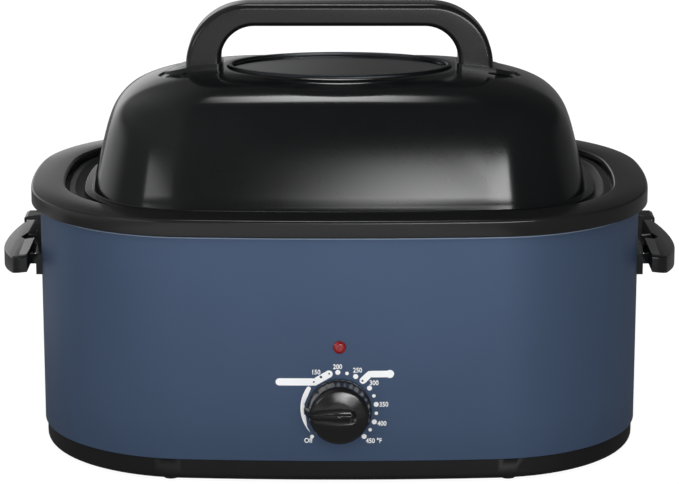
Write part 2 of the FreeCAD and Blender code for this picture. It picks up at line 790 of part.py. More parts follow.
def make_knob():
    """Notched skirt, crowned face with a grip bar between two grooves, and a pointer."""
    origin = V(0, knob_back, knob_height)
    height = knob_back - knob_face
    edge = height - knob_crown
    rim = knob_body_radius - knob_taper
    profile = (
        (0, 0, 0), (knob_skirt_radius, 0, 0), (knob_skirt_radius, knob_skirt_height, 0),
        (knob_body_radius + knob_taper, knob_skirt_height, 0), (rim, edge, knob_edge_radius),
        (rim / 2, height - knob_crown / 5, 12), (0, height, 0),
    )
    knob = turned(profile, origin, toward_front)
    # each groove slopes down to the foot of the bar, which stands up square
    above = 1.0
    grooves = Part.makeLoft([bar_plan(bar_groove_width, -above), bar_plan(0, bar_groove_depth)], True, True)
    bar = Part.Face(bar_plan(0, -above)).extrude(V(0, above + bar_groove_depth, 0))
    knob = knob.cut(grooves.cut(bar))
    # the pointer is a prow: widest over the skirt, and drawn in to the edge of the face
    root = knob_edge_radius - knob_body_radius
    prow = [pointer_plan(root, pointer_reach, pointer_tip_width, 0),
            pointer_plan(root, pointer_reach, pointer_tip_width, knob_skirt_height),
            pointer_plan(root, rim - 0.5, bar_root_width, edge - 1)]
    for low, high in zip(prow, prow[1:]):
        knob = knob.fuse(Part.makeLoft([low, high], True, True))
    notch = Part.Face(Part.makePolygon([
        V(knob_skirt_radius - knob_notch_depth, 0, 0), V(knob_skirt_radius + 1, 0, knob_notch_width / 2),
        V(knob_skirt_radius + 1, 0, -knob_notch_width / 2), V(knob_skirt_radius - knob_notch_depth, 0, 0),
    ])).extrude(toward_front * (knob_skirt_height + 1))
    notches = []
    for i in range(knob_notches):
        turn = 360 * (i + 0.5) / knob_notches
        if abs(turn - 180) > pointer_clear_angle:
            cutter = notch.copy()
            cutter.rotate(V(0, 0, 0), V(0, 1, 0), turn)
            cutter.translate(origin)
            notches.append(cutter)
    knob = knob.cut(Part.makeCompound(notches))
    # hollow back that clears the bush nut, then the D-shaped bore
    hollow = cylinder(bush_nut_flats * 0.75, origin, origin + toward_front * 7)
    bore = cylinder(shaft_radius + running_gap, origin, origin + toward_front * (shaft_in_knob + 1))
    flat_z = knob_height + shaft_radius - shaft_flat + running_gap
    above_flat = box(-10, 10, knob_face, knob_back, flat_z, flat_z + 10)
    return knob.cut(hollow).cut(bore.cut(above_flat)).removeSplitter()


def make_shaft():
    start = V(0, thermostat_front + shaft_in_body, knob_height)
    end = V(0, knob_back - shaft_in_knob, knob_height)
    shaft = cylinder(shaft_radius, start, end)
    flat_z = knob_height + shaft_radius - shaft_flat
    flat_from = knob_back - 6.0
    return shaft.cut(box(-10, 10, end.y - 1, flat_from, flat_z, flat_z + 10))


def bent_tube(radius, points, bend):
    """A round tube through points, with every corner bent to one radius."""
    edges = []
    last = points[0]
    for before, corner, after in zip(points, points[1:], points[2:]):
        into = (corner - before).normalize()
        out = (after - corner).normalize()
        start = corner - into * bend
        end = corner + out * bend
        centre = corner - into * bend + out * bend
        middle = centre + (corner - centre).normalize() * bend
        edges.append(Part.LineSegment(last, start).toShape())
        edges.append(Part.Arc(start, middle, end).toShape())
        last = end
    edges.append(Part.LineSegment(last, points[-1]).toShape())
    ring = polygon(wire_sides, radius * 2, points[0], points[1] - points[0]).OuterWire
    return Part.Wire(edges).makePipeShell([ring], True, False)


def make_sensor():
    """Bulb against the front of the well, with its capillary down to the thermostat."""
    y = -(half_depth + well_offset(bulb_height)) - bulb_radius - fit_gap
    half = bulb_length / 2
    bulb = cylinder(bulb_radius, V(-half, y, bulb_height), V(half, y, bulb_height))
    x = -half - capillary_bend - 2
    low = knob_height + capillary_entry
    middle = (thermostat_front + thermostat_back) / 2 + 6
    path = [V(-half, y, bulb_height), V(x, y, bulb_height), V(x, y, low), V(x, middle, low),
            V(-thermostat_width / 2, middle, low)]
    y_room = abs(y - middle)
    return bulb.fuse(bent_tube(capillary_radius, path, min(capillary_bend, y_room / 2.2)))


save("thermostat_body", make_thermostat_body())
save("thermostat_bracket", make_thermostat_bracket())
save("thermostat_nut", hexagon(bush_nut_flats, bush_nut_height, V(0, front_face, knob_height),
                               toward_front, bush_radius + running_gap))
save("sensor_bulb", make_sensor())
save("control_knob", make_knob())
save("thermostat_shaft", make_shaft())

# ---- indicator ---------------------------------------------------------------------------
lens_seat = V(0, front_face, lens_height)


def make_lens():
    bore = lamp_radius + running_gap
    end = -lens_stem_length
    line = (
        (bore, end, 0), (lens_stem_radius, end, 0), (lens_stem_radius, 0, 0), (lens_radius, 0, 0),
        (lens_radius, lens_flange, 0), (lens_radius * 0.62, lens_dome, 1.5), (0, lens_dome, 0),
        (0, -1.0, 0), (bore, -1.0, 0),
    )
    return turned(line, lens_seat, toward_front)


def make_lens_clip():
    """Push-on ring that holds the lens from behind."""
    back = V(0, front_face + wall_sheet + panel_gap, lens_height)
    ring = cylinder(lens_radius + 1.0, back, back + V(0, 1.2, 0))
    return ring.cut(cylinder(lens_stem_radius + running_gap, back - V(0, 1, 0), back + V(0, 3, 0)))


def make_lamp():
    start = lens_seat + V(0, 1.5, 0)
    return cylinder(lamp_radius, start, start + V(0, lamp_length, 0))


save("indicator_lens", make_lens())
save("lens_clip", make_lens_clip())
save("neon_lamp", make_lamp())

# ---- cord gland, terminal block and leads ------------------------------------------------
back_face = half_depth


def make_gland():
    seat = V(0, back_face, gland_height)
    flange = gland_flange
    line = (
        (gland_throat, -gland_length, 0), (gland_body_radius, -gland_length, 0),
        (gland_body_radius, 0, 0), (gland_flange_radius, 0, 0), (gland_flange_radius, flange, 0),
        (gland_bore + gland_lip, flange + gland_collar, 0), (gland_bore, flange + gland_collar, 0),
        (gland_bore, gland_step, 0), (gland_throat, gland_step, 0),
    )
    return turned(line, seat, V(0, 1, 0))


save("cord_gland", make_gland())
save("gland_nut", hexagon(gland_nut_flats, gland_nut_height,
                          V(0, back_face - wall_sheet - panel_gap, gland_height), V(0, -1, 0),
                          gland_body_radius + running_gap))
block_length, block_depth, block_height = block_size
block_y = outline_y(block_x, -lead_inset)


def make_terminal_block():
    """Moulded block on the heat shield with a screw well over each of its three ways."""
    x0 = block_x - block_length / 2
    block = box(x0, x0 + block_length, block_y - block_depth / 2, block_y + block_depth / 2 - 1.5,
                shield_top, shield_top + block_height)
    for i in range(3):
        x = x0 + block_length * (i + 0.5) / 3
        z = shield_top + block_height
        block = block.cut(cylinder(3.0, V(x, block_y, z - 5), V(x, block_y, z + 1)))
    return block


def make_leads():
    """The lead bundle from the terminal block round the right-hand end to the thermostat."""
    ring = polygon(wire_sides, lead_radius * 2, V(-lead_inset, 0, lead_height), V(0, 1, 0)).OuterWire
    back_arc = body_arcs[2]
    side_arc = body_arcs[0]
    front_arc = body_arcs[6]
    start_x = block_x + block_length / 2 + 0.2
    start = math.acos(start_x / (front_bow_radius - lead_inset))
    end_x = lead_bend
    end = 2 * math.pi - math.acos(end_x / (front_bow_radius - lead_inset))
    pieces = [
        sector(ring, back_arc, back_arc[3], start),
        sector(ring, body_arcs[1], body_arcs[1][3], body_arcs[1][4]),
        sector(ring, side_arc, side_arc[3], side_arc[4]),
        sector(ring, body_arcs[7], body_arcs[7][3], body_arcs[7][4]),
        sector(ring, front_arc, end, front_arc[4]),
    ]
    y = -outline_y(end_x, -lead_inset)
    bend = polygon(wire_sides, lead_radius * 2, V(end_x, y, lead_height), V(1, 0, 0))
    pieces.append(bend.revolve(V(end_x, y, lead_height + lead_bend), V(0, 1, 0), 90))
    low = knob_height - thermostat_height / 2
    pieces.append(rod(lead_radius, V(0, y, lead_height + lead_bend), V(0, y, low - running_gap)))
    return fused(pieces)


save("terminal_block", make_terminal_block())
save("mains_leads", make_leads())

# ---- side handles ------------------------------------------------------------------------
def grip_outline(inset, z0, z1):
    """The grip's D-shaped plan, drawn for the right-hand side and pulled in by an inset."""
    inner = half_length + grip_inner + inset
    outer = half_length + grip_reach - inset
    half = grip_half_width - inset
    bow = grip_bow_radius - inset
    bow_centre = outer - bow
    shoulder_x = bow_centre + math.sqrt(bow * bow - (half - grip_corner_radius) ** 2)
    corners = [
        V(inner, -half, z0), V(min(shoulder_x, outer - 1), -half, z0),
        V(outer, 0, z0), V(min(shoulder_x, outer - 1), half, z0), V(inner, half, z0),
    ]
    edges = [
        Part.LineSegment(corners[0], corners[1]).toShape(),
        Part.Arc(corners[1], corners[2], corners[3]).toShape(),
        Part.LineSegment(corners[3], corners[4]).toShape(),
        Part.LineSegment(corners[4], corners[0]).toShape(),
    ]
    prism = Part.Face(Part.Wire(edges)).extrude(V(0, 0, z1 - z0))
    upright = [e for e in prism.Edges
               if abs(e.tangentAt(e.FirstParameter).z) > 0.9 and e.Vertexes[0].X > inner + 1]
    return prism.makeFillet(max(grip_corner_radius - inset, 1.0), upright)


def droop_slab(lower_top, height, half):
    """A slab whose top falls away outward, long enough to trim the grip's plan."""
    inner = half_length + grip_inner - 2
    outer = half_length + grip_reach + 5
    middle = (inner + outer) / 2
    top = grip_top - lower_top
    fall = grip_droop
    line_top = [V(inner, -half, top), V(middle, -half, top - fall * 0.38), V(outer, -half, top - fall * 1.15)]
    line_low = [p - V(0, 0, height) for p in line_top]
    edges = [
        Part.Arc(*line_top).toShape(),
        Part.LineSegment(line_top[2], line_low[2]).toShape(),
        Part.Arc(line_low[2], line_low[1], line_low[0]).toShape(),
        Part.LineSegment(line_low[0], line_top[0]).toShape(),
    ]
    return Part.Face(Part.Wire(edges)).extrude(V(0, 2 * half, 0))


def make_side_handle():
    """Right-hand handle: curved back plate, hollow grip open below, and the hook tab."""
    tall = (plate_bottom - spare, hook_top + spare)
    reach = grip_half_width + spare
    grip = grip_outline(0, *tall).common(droop_slab(0, grip_height, reach))
    top_edges = [e for e in grip.Edges if e.BoundBox.ZMin > grip_top - grip_droop - 1.5
                 and e.BoundBox.XMax > half_length + grip_inner + 1 and e.BoundBox.ZLength < grip_droop + 1]
    top_edges = [e for e in top_edges if e.BoundBox.YLength > 1 or e.BoundBox.XLength > 1]
    grip = grip.makeFillet(grip_edge_radius, top_edges)
    hollow = grip_outline(handle_wall, *tall).common(droop_slab(handle_wall, grip_height * 2, reach))
    grip = grip.cut(hollow)
    # the plate, its upright to the hook, and the hook itself
    x0 = half_length - spare
    x1 = half_length + spare
    plate = box(x0, x1, -plate_half_width, plate_half_width, plate_bottom, plate_top)
    upright = box(x0, x1, -hook_half_width, hook_half_width, plate_bottom, hook_top)
    back = plate.fuse(upright).common(body_prism(plate_thickness, *tall))
    tip = half_length + hook_reach
    lip_inner = tip - hook_lip_thickness
    under = hook_top - hook_thickness
    hook_line = (
        (x0, hook_top, 0), (tip - hook_bevel, hook_top, 1.2), (tip, hook_top - hook_bevel_drop, 1),
        (tip, under - hook_lip, 0.6), (lip_inner, under - hook_lip, 0.6),
        (lip_inner, under, 0.8), (x0, under, 0),
    )
    hook = Part.Face(section_wire(hook_line)).extrude(V(0, 2 * hook_half_width, 0))
    hook.translate(V(0, -hook_half_width, 0))
    # ribs carry the grip on the plate, and stiffen the grip across its hollow
    ribs = []
    rib_low = grip_top - grip_height + 1.0
    rib_outer = half_length + grip_reach
    skin = handle_wall / 2
    near_wall = box(x0, half_length + grip_inner + handle_wall, -reach, reach, rib_low, plate_top)
    allowed = grip_outline(skin, *tall).common(droop_slab(skin, grip_height, reach)).fuse(near_wall)
    half_rib = rib_thickness / 2
    for y in (notch_half_width + half_rib, plate_half_width - half_rib):
        for side in (-1, 1):
            rib = box(x0, rib_outer, side * y - half_rib, side * y + half_rib,
                      rib_low, grip_top)
            ribs.append(rib.common(allowed))
    handle = grip.fuse([back, hook] + ribs)
    notch_outer = half_length + grip_inner + notch_depth
    notch = Part.Face(Part.makePolygon([
        V(half_length + plate_thickness, -notch_half_width, 0), V(notch_outer - 5, -notch_half_width, 0),
        V(notch_outer, 0, 0), V(notch_outer - 5, notch_half_width, 0),
        V(half_length + plate_thickness, notch_half_width, 0),
        V(half_length + plate_thickness, -notch_half_width, 0),
    ])).extrude(V(0, 0, grip_top + 1))
    handle = handle.cut(notch)
    handle = handle.cut(body_prism(0, *tall))
    for y, z in side_screw_places:
        handle = handle.cut(cylinder(screw_radius + running_gap, V(x0, y, z),
                                     V(half_length + plate_thickness + past, y, z)))
    return handle.removeSplitter()


def make_side_screws():
    """Screws from inside the wall; their tips stand just proud of the plate."""
    screws = []
    for y, z in side_screw_places:
        seat = outline_x(abs(y) + screw_head_radius, -wall_sheet) - 0.02
        length = outline_x(y, plate_thickness) + side_screw_proud - seat
        screws.append(screw(V(seat, y, z), V(1, 0, 0), length))
    return screws


right_handle = make_side_handle()
save("right_side_handle", right_handle)
save("left_side_handle", mirrored(right_handle))
right_screws = make_side_screws()
save("side_handle_screws", right_screws + [mirrored(s) for s in right_screws])

# ---- roasting pan and rack ---------------------------------------------------------------
def make_pan():
    """Deep pan that hangs on its flange; the edge is a rolled bead."""
    bead_in = bead_edge - bead_width
    inner_top = pan_outer - pan_sheet
    foot_out = pan_outer - pan_draft
    flat = foot_out - pan_bottom_radius - 12
    under = pan_flange_top - pan_sheet
    line = (
        (bead_edge, bead_bottom, 1.2), (bead_edge, bead_bottom + bead_height, 1.6),
        (bead_in, bead_bottom + bead_height, 1.6), (bead_in - 0.8, pan_flange_top, 0),
        (inner_top, pan_flange_top, pan_flange_radius),
        (foot_out - pan_sheet, pan_floor, pan_bottom_radius - pan_sheet), (flat, pan_floor, 0),
        (flat, pan_bottom, 0), (foot_out, pan_bottom, pan_bottom_radius),
        (pan_outer, under, pan_flange_radius / 2), (bead_in, under, 0), (bead_in, bead_bottom, 0),
    )
    return body_ring(line).fuse(body_prism(flat, pan_bottom, pan_floor)).removeSplitter()


rack_level = pan_floor + rack_clearance


def make_rack_grid():
    """Oval frame with cross bars, and two runners on legs under them."""
    ring = polygon(wire_sides, rack_frame_radius * 2, V(-rack_inset, 0, rack_level), V(0, 1, 0)).OuterWire
    pieces = [sector(ring, arc, arc[3], arc[4]) for arc in body_arcs]
    for i in range(rack_bar_count):
        x = (i - (rack_bar_count - 1) / 2) * rack_bar_pitch
        y = outline_reach_y(abs(x), rack_inset)
        pieces.append(rod(rack_bar_radius, V(x, -y, rack_level), V(x, y, rack_level)))
    foot = pan_floor + rest_gap
    for side in (-1, 1):
        y = side * rack_runner_spacing / 2
        x = outline_x(y, -rack_inset) - rack_runner_inset
        z = rack_level - rack_bar_radius - rack_frame_radius * 0.6
        end = x + rack_frame_radius
        pieces.append(rod(rack_frame_radius, V(-end, y, z), V(end, y, z)))
        for foot_x in (-x, x):
            pieces.append(rod(rack_frame_radius, V(foot_x, y, z), V(foot_x, y, foot)))
    return fused(pieces)


def make_rack_handles(grid):
    """A bent wire at each end that lifts the rack and what is on it."""
    top = rack_level + rack_lift_height
    half = rack_lift_width / 2
    handles = []
    for side in (-1, 1):
        x = side * (half_length - rack_inset - 3)
        corners = [V(x, -half, rack_level), V(x, -half, top), V(x, half, top), V(x, half, rack_level)]
        handles.append(bent_tube(rack_frame_radius, corners, rack_lift_bend).cut(grid))
    return handles


save("roasting_pan", make_pan())
rack_grid = make_rack_grid()
save("rack_grid", rack_grid)
save("rack_handles", make_rack_handles(rack_grid))

# ---- lid ---------------------------------------------------------------------------------
def shoulder_at(fraction):
    """How far the dome has run in at a part of its height: 0 at the wall, 1 at the window."""
    return 1 - max(0.0, 1 - fraction**lid_shoulder_power) ** (1 / lid_shoulder_roll)


def dome(inset, top_drop):
    """The lid's dome as one smooth loft; an inset and a drop give the inner surface."""
    wires = []
    height = lid_height - top_drop
    for fraction in lid_sections:
        rise = height * fraction
        shoulder = shoulder_at(fraction)
        draft = lid_draft * lid_height * fraction
        a = half_length - lid_wall_inset - inset - draft - lid_shoulder_x * shoulder
        b = half_depth - lid_wall_inset - inset - draft - lid_shoulder_y * shoulder
        blend = (fraction + shoulder) / 2
        front_r = (front_bow_radius - lid_wall_inset) * (1 - blend) + lid_top_front_radius * blend
        corner_r = (corner_radius - lid_wall_inset) * (1 - blend) + lid_top_corner_radius * blend
        side_r = (side_bow_radius - lid_wall_inset) * (1 - blend) + lid_top_side_radius * blend
        arcs = outline_arcs(a, b, front_r - inset, corner_r - inset, side_r - inset)
        wires.append(wire_from_arcs(arcs, 0, brim_bottom + rise))
    return Part.makeLoft(wires, True, False)


def ellipse_prism(half_x, half_y, z0, z1):
    curve = Part.Ellipse(V(0, 0, z0), half_x, half_y)
    return Part.Face(Part.Wire(curve.toShape())).extrude(V(0, 0, z1 - z0))


def oval_ring(outer, inner, z0, z1):
    """A flat ring between two ovals, each given as an offset from the clear glass."""
    a, b = window_half_length, window_half_depth
    return ellipse_prism(a + outer, b + outer, z0, z1).cut(
        ellipse_prism(a + inner, b + inner, z0 - 1, z1 + 1))


dome_solid = dome(0, 0)
window_opening = window_seat + gasket_thickness + fit_gap
sheet_under = crown_top - lid_sheet
glass_top = crown_top - gasket_thickness
glass_bottom = glass_top - glass_thickness
handle_feet_x = handle_half_span - handle_leg / 2


def make_lid_shell():
    shell = dome_solid.cut(dome(lid_sheet, lid_sheet))
    wall = -lid_wall_inset
    skirt_out = pan_outer - pan_sheet - lid_skirt_gap
    brim_out = wall + lid_brim_width
    line = (
        (brim_out, brim_bottom, 0), (brim_out, brim_bottom + lid_sheet, 0),
        (skirt_out - lid_sheet, brim_bottom + lid_sheet, 0),
        (skirt_out - lid_sheet, brim_bottom - lid_skirt_depth, 0),
        (skirt_out, brim_bottom - lid_skirt_depth, 0), (skirt_out, brim_bottom, 0),
    )
    shell = shell.fuse(body_ring(line))
    shell = shell.cut(ellipse_prism(window_half_length + window_opening,
                                    window_half_depth + window_opening, crown_top - past, crown_top + past))
    for side in (-1, 1):
        x = side * handle_feet_x
        shell = shell.cut(cylinder(screw_radius + screw_gap, V(x, 0, crown_top - lid_height / 2),
                                   V(x, 0, crown_top + past)))
    return shell.removeSplitter()


def make_gasket():
    """Silicone channel round the glass, seated in the lid's opening."""
    outer = window_seat + gasket_thickness
    low = glass_bottom - gasket_thickness
    ring = oval_ring(outer, 0.4, low, crown_top)
    groove = ellipse_prism(window_half_length + window_seat, window_half_depth + window_seat,
                           glass_bottom, glass_top)
    return ring.cut(groove)


def make_retainer():
    """Ring under the lid's sheet that holds the gasket up."""
    low = glass_bottom - gasket_thickness - retainer_thickness
    ring = oval_ring(retainer_width, 0, low, sheet_under)
    return ring.cut(ellipse_prism(window_half_length + window_opening,
                                  window_half_depth + window_opening,
                                  low + retainer_thickness, crown_top))


def make_window_bezel():
    ring = oval_ring(window_bezel_width, 0, crown_top, crown_top + window_bezel_height)
    top_edges = [e for e in ring.Edges if e.BoundBox.ZMin > crown_top + window_bezel_height - 0.01]
    return ring.makeChamfer(window_bezel_height * 0.35, top_edges)


save("lid_shell", make_lid_shell())
save("window_bezel", make_window_bezel())
save("window_gasket", make_gasket())
save("window_retainer", make_retainer())
save("window_glass", ellipse_prism(window_half_length + window_seat - 0.05,
                                   window_half_depth + window_seat - 0.05,
                                   glass_bottom + 0.05, glass_top - 0.05))

# ---- lid handle --------------------------------------------------------------------------
handle_top = crown_top + handle_rise


def crown_z(x):
    """Height of the lid's outside on its long axis, at a distance from the middle."""
    low, high = 0.0, 1.0
    for step in range(40):
        fraction = (low + high) / 2
        reach = (half_length - lid_wall_inset - lid_draft * lid_height * fraction
                 - lid_shoulder_x * shoulder_at(fraction))
        low, high = (fraction, high) if reach > x else (low, fraction)
    return brim_bottom + lid_height * low


def make_lid_handle(pads):
    """Arched loop with rounded edges; its feet are cut to the pads they stand on."""
    half = handle_half_span
    inner = half - handle_leg
    under = handle_top - handle_bar
    low = crown_top - foot_depth
    line = (
        (-half, low, 0), (-half + handle_lean, handle_top, handle_outer_radius),
        (half - handle_lean, handle_top, handle_outer_radius), (half, low, 0), (inner, low, 0),
        (inner - handle_lean / 2, under, handle_inner_radius),
        (-inner + handle_lean / 2, under, handle_inner_radius), (-inner, low, 0),
    )
    loop = Part.Face(section_wire(line)).extrude(V(0, handle_depth, 0))
    loop.translate(V(0, -handle_depth / 2, 0))
    long_edges = [e for e in loop.Edges if e.BoundBox.YLength < 0.01 and e.BoundBox.ZMax > crown_top]
    loop = loop.makeFillet(handle_edge_radius, long_edges)
    loop = loop.cut(dome_solid).cut(Part.makeCompound(pads))
    loop = max(loop.Solids, key=lambda solid: solid.Volume)
    for side in (-1, 1):
        x = side * handle_feet_x
        tip = crown_top + handle_screw_depth + 0.5
        loop = loop.cut(cylinder(screw_radius + running_gap, V(x, 0, low), V(x, 0, tip)))
    return loop


def make_pad(side):
    """Heat pad under a foot: it follows the lid's crown and runs out to a thin point."""
    x0 = handle_half_span - handle_leg - pad_margin
    x1 = handle_half_span + pad_margin
    nose = handle_half_span + pad_nose
    half = handle_depth / 2 + pad_margin
    z0 = crown_top - foot_depth
    bulge_x = x1 + (nose - x1) * 0.62
    bulge_y = half * 0.6
    edges = [
        Part.LineSegment(V(x0, -half, z0), V(x1, -half, z0)).toShape(),
        Part.Arc(V(x1, -half, z0), V(bulge_x, -bulge_y, z0), V(nose, 0, z0)).toShape(),
        Part.Arc(V(nose, 0, z0), V(bulge_x, bulge_y, z0), V(x1, half, z0)).toShape(),
        Part.LineSegment(V(x1, half, z0), V(x0, half, z0)).toShape(),
        Part.LineSegment(V(x0, half, z0), V(x0, -half, z0)).toShape(),
    ]
    prism = Part.Face(Part.Wire(edges)).extrude(V(0, 0, lid_height / 2))
    corners = [e for e in prism.Edges if e.BoundBox.XMax < x0 + 0.01 and e.BoundBox.ZLength > 1]
    prism = prism.makeFillet(handle_edge_radius, corners)
    raised = dome_solid.copy()
    raised.translate(V(0, 0, pad_thickness))
    pad = prism.common(raised).cut(dome_solid)
    # the nose slopes down from the leg to its thin tip
    slope = ((x1, crown_z(x1) + pad_thickness), (nose + past, crown_z(nose) + pad_nose_thickness),
             (nose + past, crown_top + lid_height), (x1, crown_top + lid_height),
             (x1, crown_z(x1) + pad_thickness))
    above = Part.Face(Part.makePolygon([V(x, -half * 2, z) for x, z in slope])).extrude(V(0, half * 4, 0))
    pad = pad.cut(above)
    x = handle_feet_x
    pad = pad.cut(cylinder(screw_radius + screw_gap, V(x, 0, z0), V(x, 0, crown_top + foot_depth)))
    pad = max(pad.Solids, key=lambda solid: solid.Volume)
    return pad if side > 0 else mirrored(pad)


def make_handle_fixings():
    """A washer and a screw under the lid's sheet at each foot."""
    inner_dome = dome(lid_sheet, lid_sheet)
    probe = cylinder(washer_radius, V(handle_feet_x, 0, crown_top - 2 * foot_depth), V(handle_feet_x, 0, crown_top))
    seat = probe.common(inner_dome)
    lowest = min(v.Z for v in probe.cut(inner_dome).Vertexes)
    top = min(seat.BoundBox.ZMax, lowest) - 0.05
    low = top - washer_thickness
    washers, screws = [], []
    for side in (-1, 1):
        x = side * handle_feet_x
        ring = cylinder(washer_radius, V(x, 0, low), V(x, 0, top))
        washers.append(ring.cut(cylinder(screw_radius + screw_gap, V(x, 0, low - 1), V(x, 0, top + 1))))
        length = crown_top + handle_screw_depth - low
        screws.append(screw(V(x, 0, low), V(0, 0, 1), length))
    return washers, screws


pads = [make_pad(side) for side in (-1, 1)]
save("handle_pads", pads)
save("lid_handle", make_lid_handle(pads))
washers, handle_screws = make_handle_fixings()
save("handle_washers", washers)
save("handle_screws", handle_screws)
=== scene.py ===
import json
import math

import bmesh
import bpy
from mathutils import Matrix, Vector


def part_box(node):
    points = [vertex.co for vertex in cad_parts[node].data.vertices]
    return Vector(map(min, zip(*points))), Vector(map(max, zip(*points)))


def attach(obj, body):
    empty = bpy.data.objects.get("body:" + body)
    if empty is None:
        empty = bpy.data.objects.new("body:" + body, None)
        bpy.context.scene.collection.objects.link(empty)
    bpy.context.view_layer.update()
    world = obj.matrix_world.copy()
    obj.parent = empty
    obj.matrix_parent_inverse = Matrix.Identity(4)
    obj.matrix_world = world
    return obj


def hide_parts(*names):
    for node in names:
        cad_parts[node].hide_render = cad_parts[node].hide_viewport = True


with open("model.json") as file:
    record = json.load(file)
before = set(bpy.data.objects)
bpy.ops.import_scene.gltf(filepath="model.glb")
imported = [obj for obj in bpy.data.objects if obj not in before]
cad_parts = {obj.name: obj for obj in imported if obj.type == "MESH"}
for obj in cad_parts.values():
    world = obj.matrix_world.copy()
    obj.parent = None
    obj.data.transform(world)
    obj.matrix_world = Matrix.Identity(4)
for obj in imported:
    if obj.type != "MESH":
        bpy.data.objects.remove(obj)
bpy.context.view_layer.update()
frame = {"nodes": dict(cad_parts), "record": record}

# ==== Base tray ===========================================================================
# A black, glass-filled moulding that carries the whole oven. Its edge is rounded under the
# wall, and its outside has the fine spark grain of the mould. Six screws hold it to the wall's
# turned-in flange, and four soft rubber feet are pushed into it from below.


class Socket:
    """One output of a node. Arithmetic on it adds Math nodes to the same tree."""

    def __init__(self, nodes, output):
        self.nodes = nodes
        self.output = output

    def __add__(self, other):
        return self.nodes.math("ADD", self, other)

    def __radd__(self, other):
        return self.nodes.math("ADD", other, self)

    def __sub__(self, other):
        return self.nodes.math("SUBTRACT", self, other)

    def __rsub__(self, other):
        return self.nodes.math("SUBTRACT", other, self)

    def __mul__(self, other):
        return self.nodes.math("MULTIPLY", self, other)

    def __rmul__(self, other):
        return self.nodes.math("MULTIPLY", other, self)

    def __truediv__(self, other):
        return self.nodes.math("DIVIDE", self, other)

    def __pow__(self, other):
        return self.nodes.math("POWER", self, other)


class Nodes:
    """A shader or geometry tree that is filled by one method."""

    def __init__(self, tree):
        self.tree = tree

    def math(self, operation, first, second=0.0):
        return self.add("ShaderNodeMath", {"operation": operation}, {0: first, 1: second})

    def add(self, kind, settings=None, sockets=None, output=0):
        """A new node: first its settings, then the values or links of its sockets."""
        node = self.tree.nodes.new(kind)
        for name, value in (settings or {}).items():
            if name == "stops":
                elements = node.color_ramp.elements
                while len(elements) < len(value):
                    elements.new(0.5)
                for element, (place, shade) in zip(elements, value):
                    element.position = place
                    element.color = shade if isinstance(shade, tuple) else (shade, shade, shade, 1)
            else:
                setattr(node, name, value)
        for name, value in (sockets or {}).items():
            for item in value if isinstance(value, list) else [value]:
                if isinstance(item, Socket):
                    self.tree.links.new(item.output, node.inputs[name])
                else:
                    node.inputs[name].default_value = item
        return Socket(self, node.outputs[output]) if node.outputs else None

    def part(self, vector, axis):
        """One part of a vector: 0 is x, 1 is y and 2 is z."""
        return self.add("ShaderNodeSeparateXYZ", None, {0: vector}, axis)


class Finish(Nodes):
    """A surface finish: one shader with its fixed values, and the nodes that vary it."""

    def __init__(self, name, **fixed):
        self.material = bpy.data.materials.new(name)
        self.material.use_nodes = True
        super().__init__(self.material.node_tree)
        self.tree.nodes.clear()
        values = {key.replace("_", " "): value for key, value in fixed.items()}
        self.surface = self.add("ShaderNodeBsdfPrincipled", None, values)
        self.add("ShaderNodeOutputMaterial", None, {"Surface": self.surface})
        where = self.add("ShaderNodeTexCoord", None, None, "Object")
        self.where = self.add("ShaderNodeMapping", None, {"Vector": where, "Scale": (1000, 1000, 1000)})

    def vary(self, name, value):
        """Feed something that changes over the surface into the shader."""
        self.tree.links.new(value.output, self.surface.output.node.inputs[name])

    def noise(self, size, detail=2.0, rough=0.5, where=None):
        """Soft noise from 0 to 1 whose blobs are about so many millimetres across."""
        return self.add("ShaderNodeTexNoise", None, {
            "Vector": where or self.where, "Scale": 1 / size, "Detail": detail, "Roughness": rough})

    def ramp(self, value, *stops):
        return self.add("ShaderNodeValToRGB", {"stops": stops}, {"Fac": value})

    def mix(self, factor, first, second):
        return self.add("ShaderNodeMix", {"data_type": "RGBA"}, {0: factor, 6: first, 7: second}, 2)

    def bump(self, height, depth):
        """Raise the surface by so many millimetres where the height is 1."""
        normal = self.add("ShaderNodeBump", None, {"Height": height, "Distance": depth / 1000})
        self.vary("Normal", normal)


def shade(value):
    """A screen colour from 0 to 255, as the light it stands for."""
    return tuple(((c / 255 + 0.055) / 1.055) ** 2.4 if c > 10 else c / 3295 for c in value) + (1,)


def moulded(name, colour, roughness, grain, depth, ior=1.45):
    """Moulded plastic: the mould's fine grain, and wide patches rubbed a little paler."""
    finish = Finish(name, IOR=ior)
    wide = finish.noise(45, 3, 0.55)
    fine = finish.noise(grain, 2, 0.6)
    colour = shade(colour)
    pale = tuple(c * 1.22 + 0.001 for c in colour[:3]) + (1,)
    finish.vary("Base Color", finish.mix(wide * 0.7 + fine * 0.3, colour, pale))
    finish.vary("Roughness", roughness - 0.05 + wide * 0.08 + fine * 0.05)
    finish.bump(fine, depth)
    return finish.material


def in_scene(name, data):
    """An object for a mesh, a text, a lamp or a camera, linked to the scene."""
    made = bpy.data.objects.new(name, data)
    bpy.context.scene.collection.objects.link(made)
    return made


def soften(mesh, sharp=32):
    """Shade a mesh smooth, apart from edges that turn by more than so many degrees."""
    mesh.shade_smooth()
    mesh.set_sharp_from_angle(angle=math.radians(sharp))


def welded(mesh):
    """A working copy of a CAD mesh, with the corners of its loose triangles joined."""
    work = bmesh.new()
    work.from_mesh(mesh)
    bmesh.ops.remove_doubles(work, verts=work.verts, dist=2e-6)
    return work


def dress(node, finish, sharp=32):
    """Show a smooth-shaded copy of a CAD node in the given finish."""
    mesh = frame["nodes"][node].data.copy()
    work = welded(mesh)
    work.to_mesh(mesh)
    work.free()
    mesh.name = node + "_skin"
    mesh.materials.clear()
    mesh.materials.append(finish)
    soften(mesh, sharp)
    settle(in_scene(node + "_skin", mesh), node)


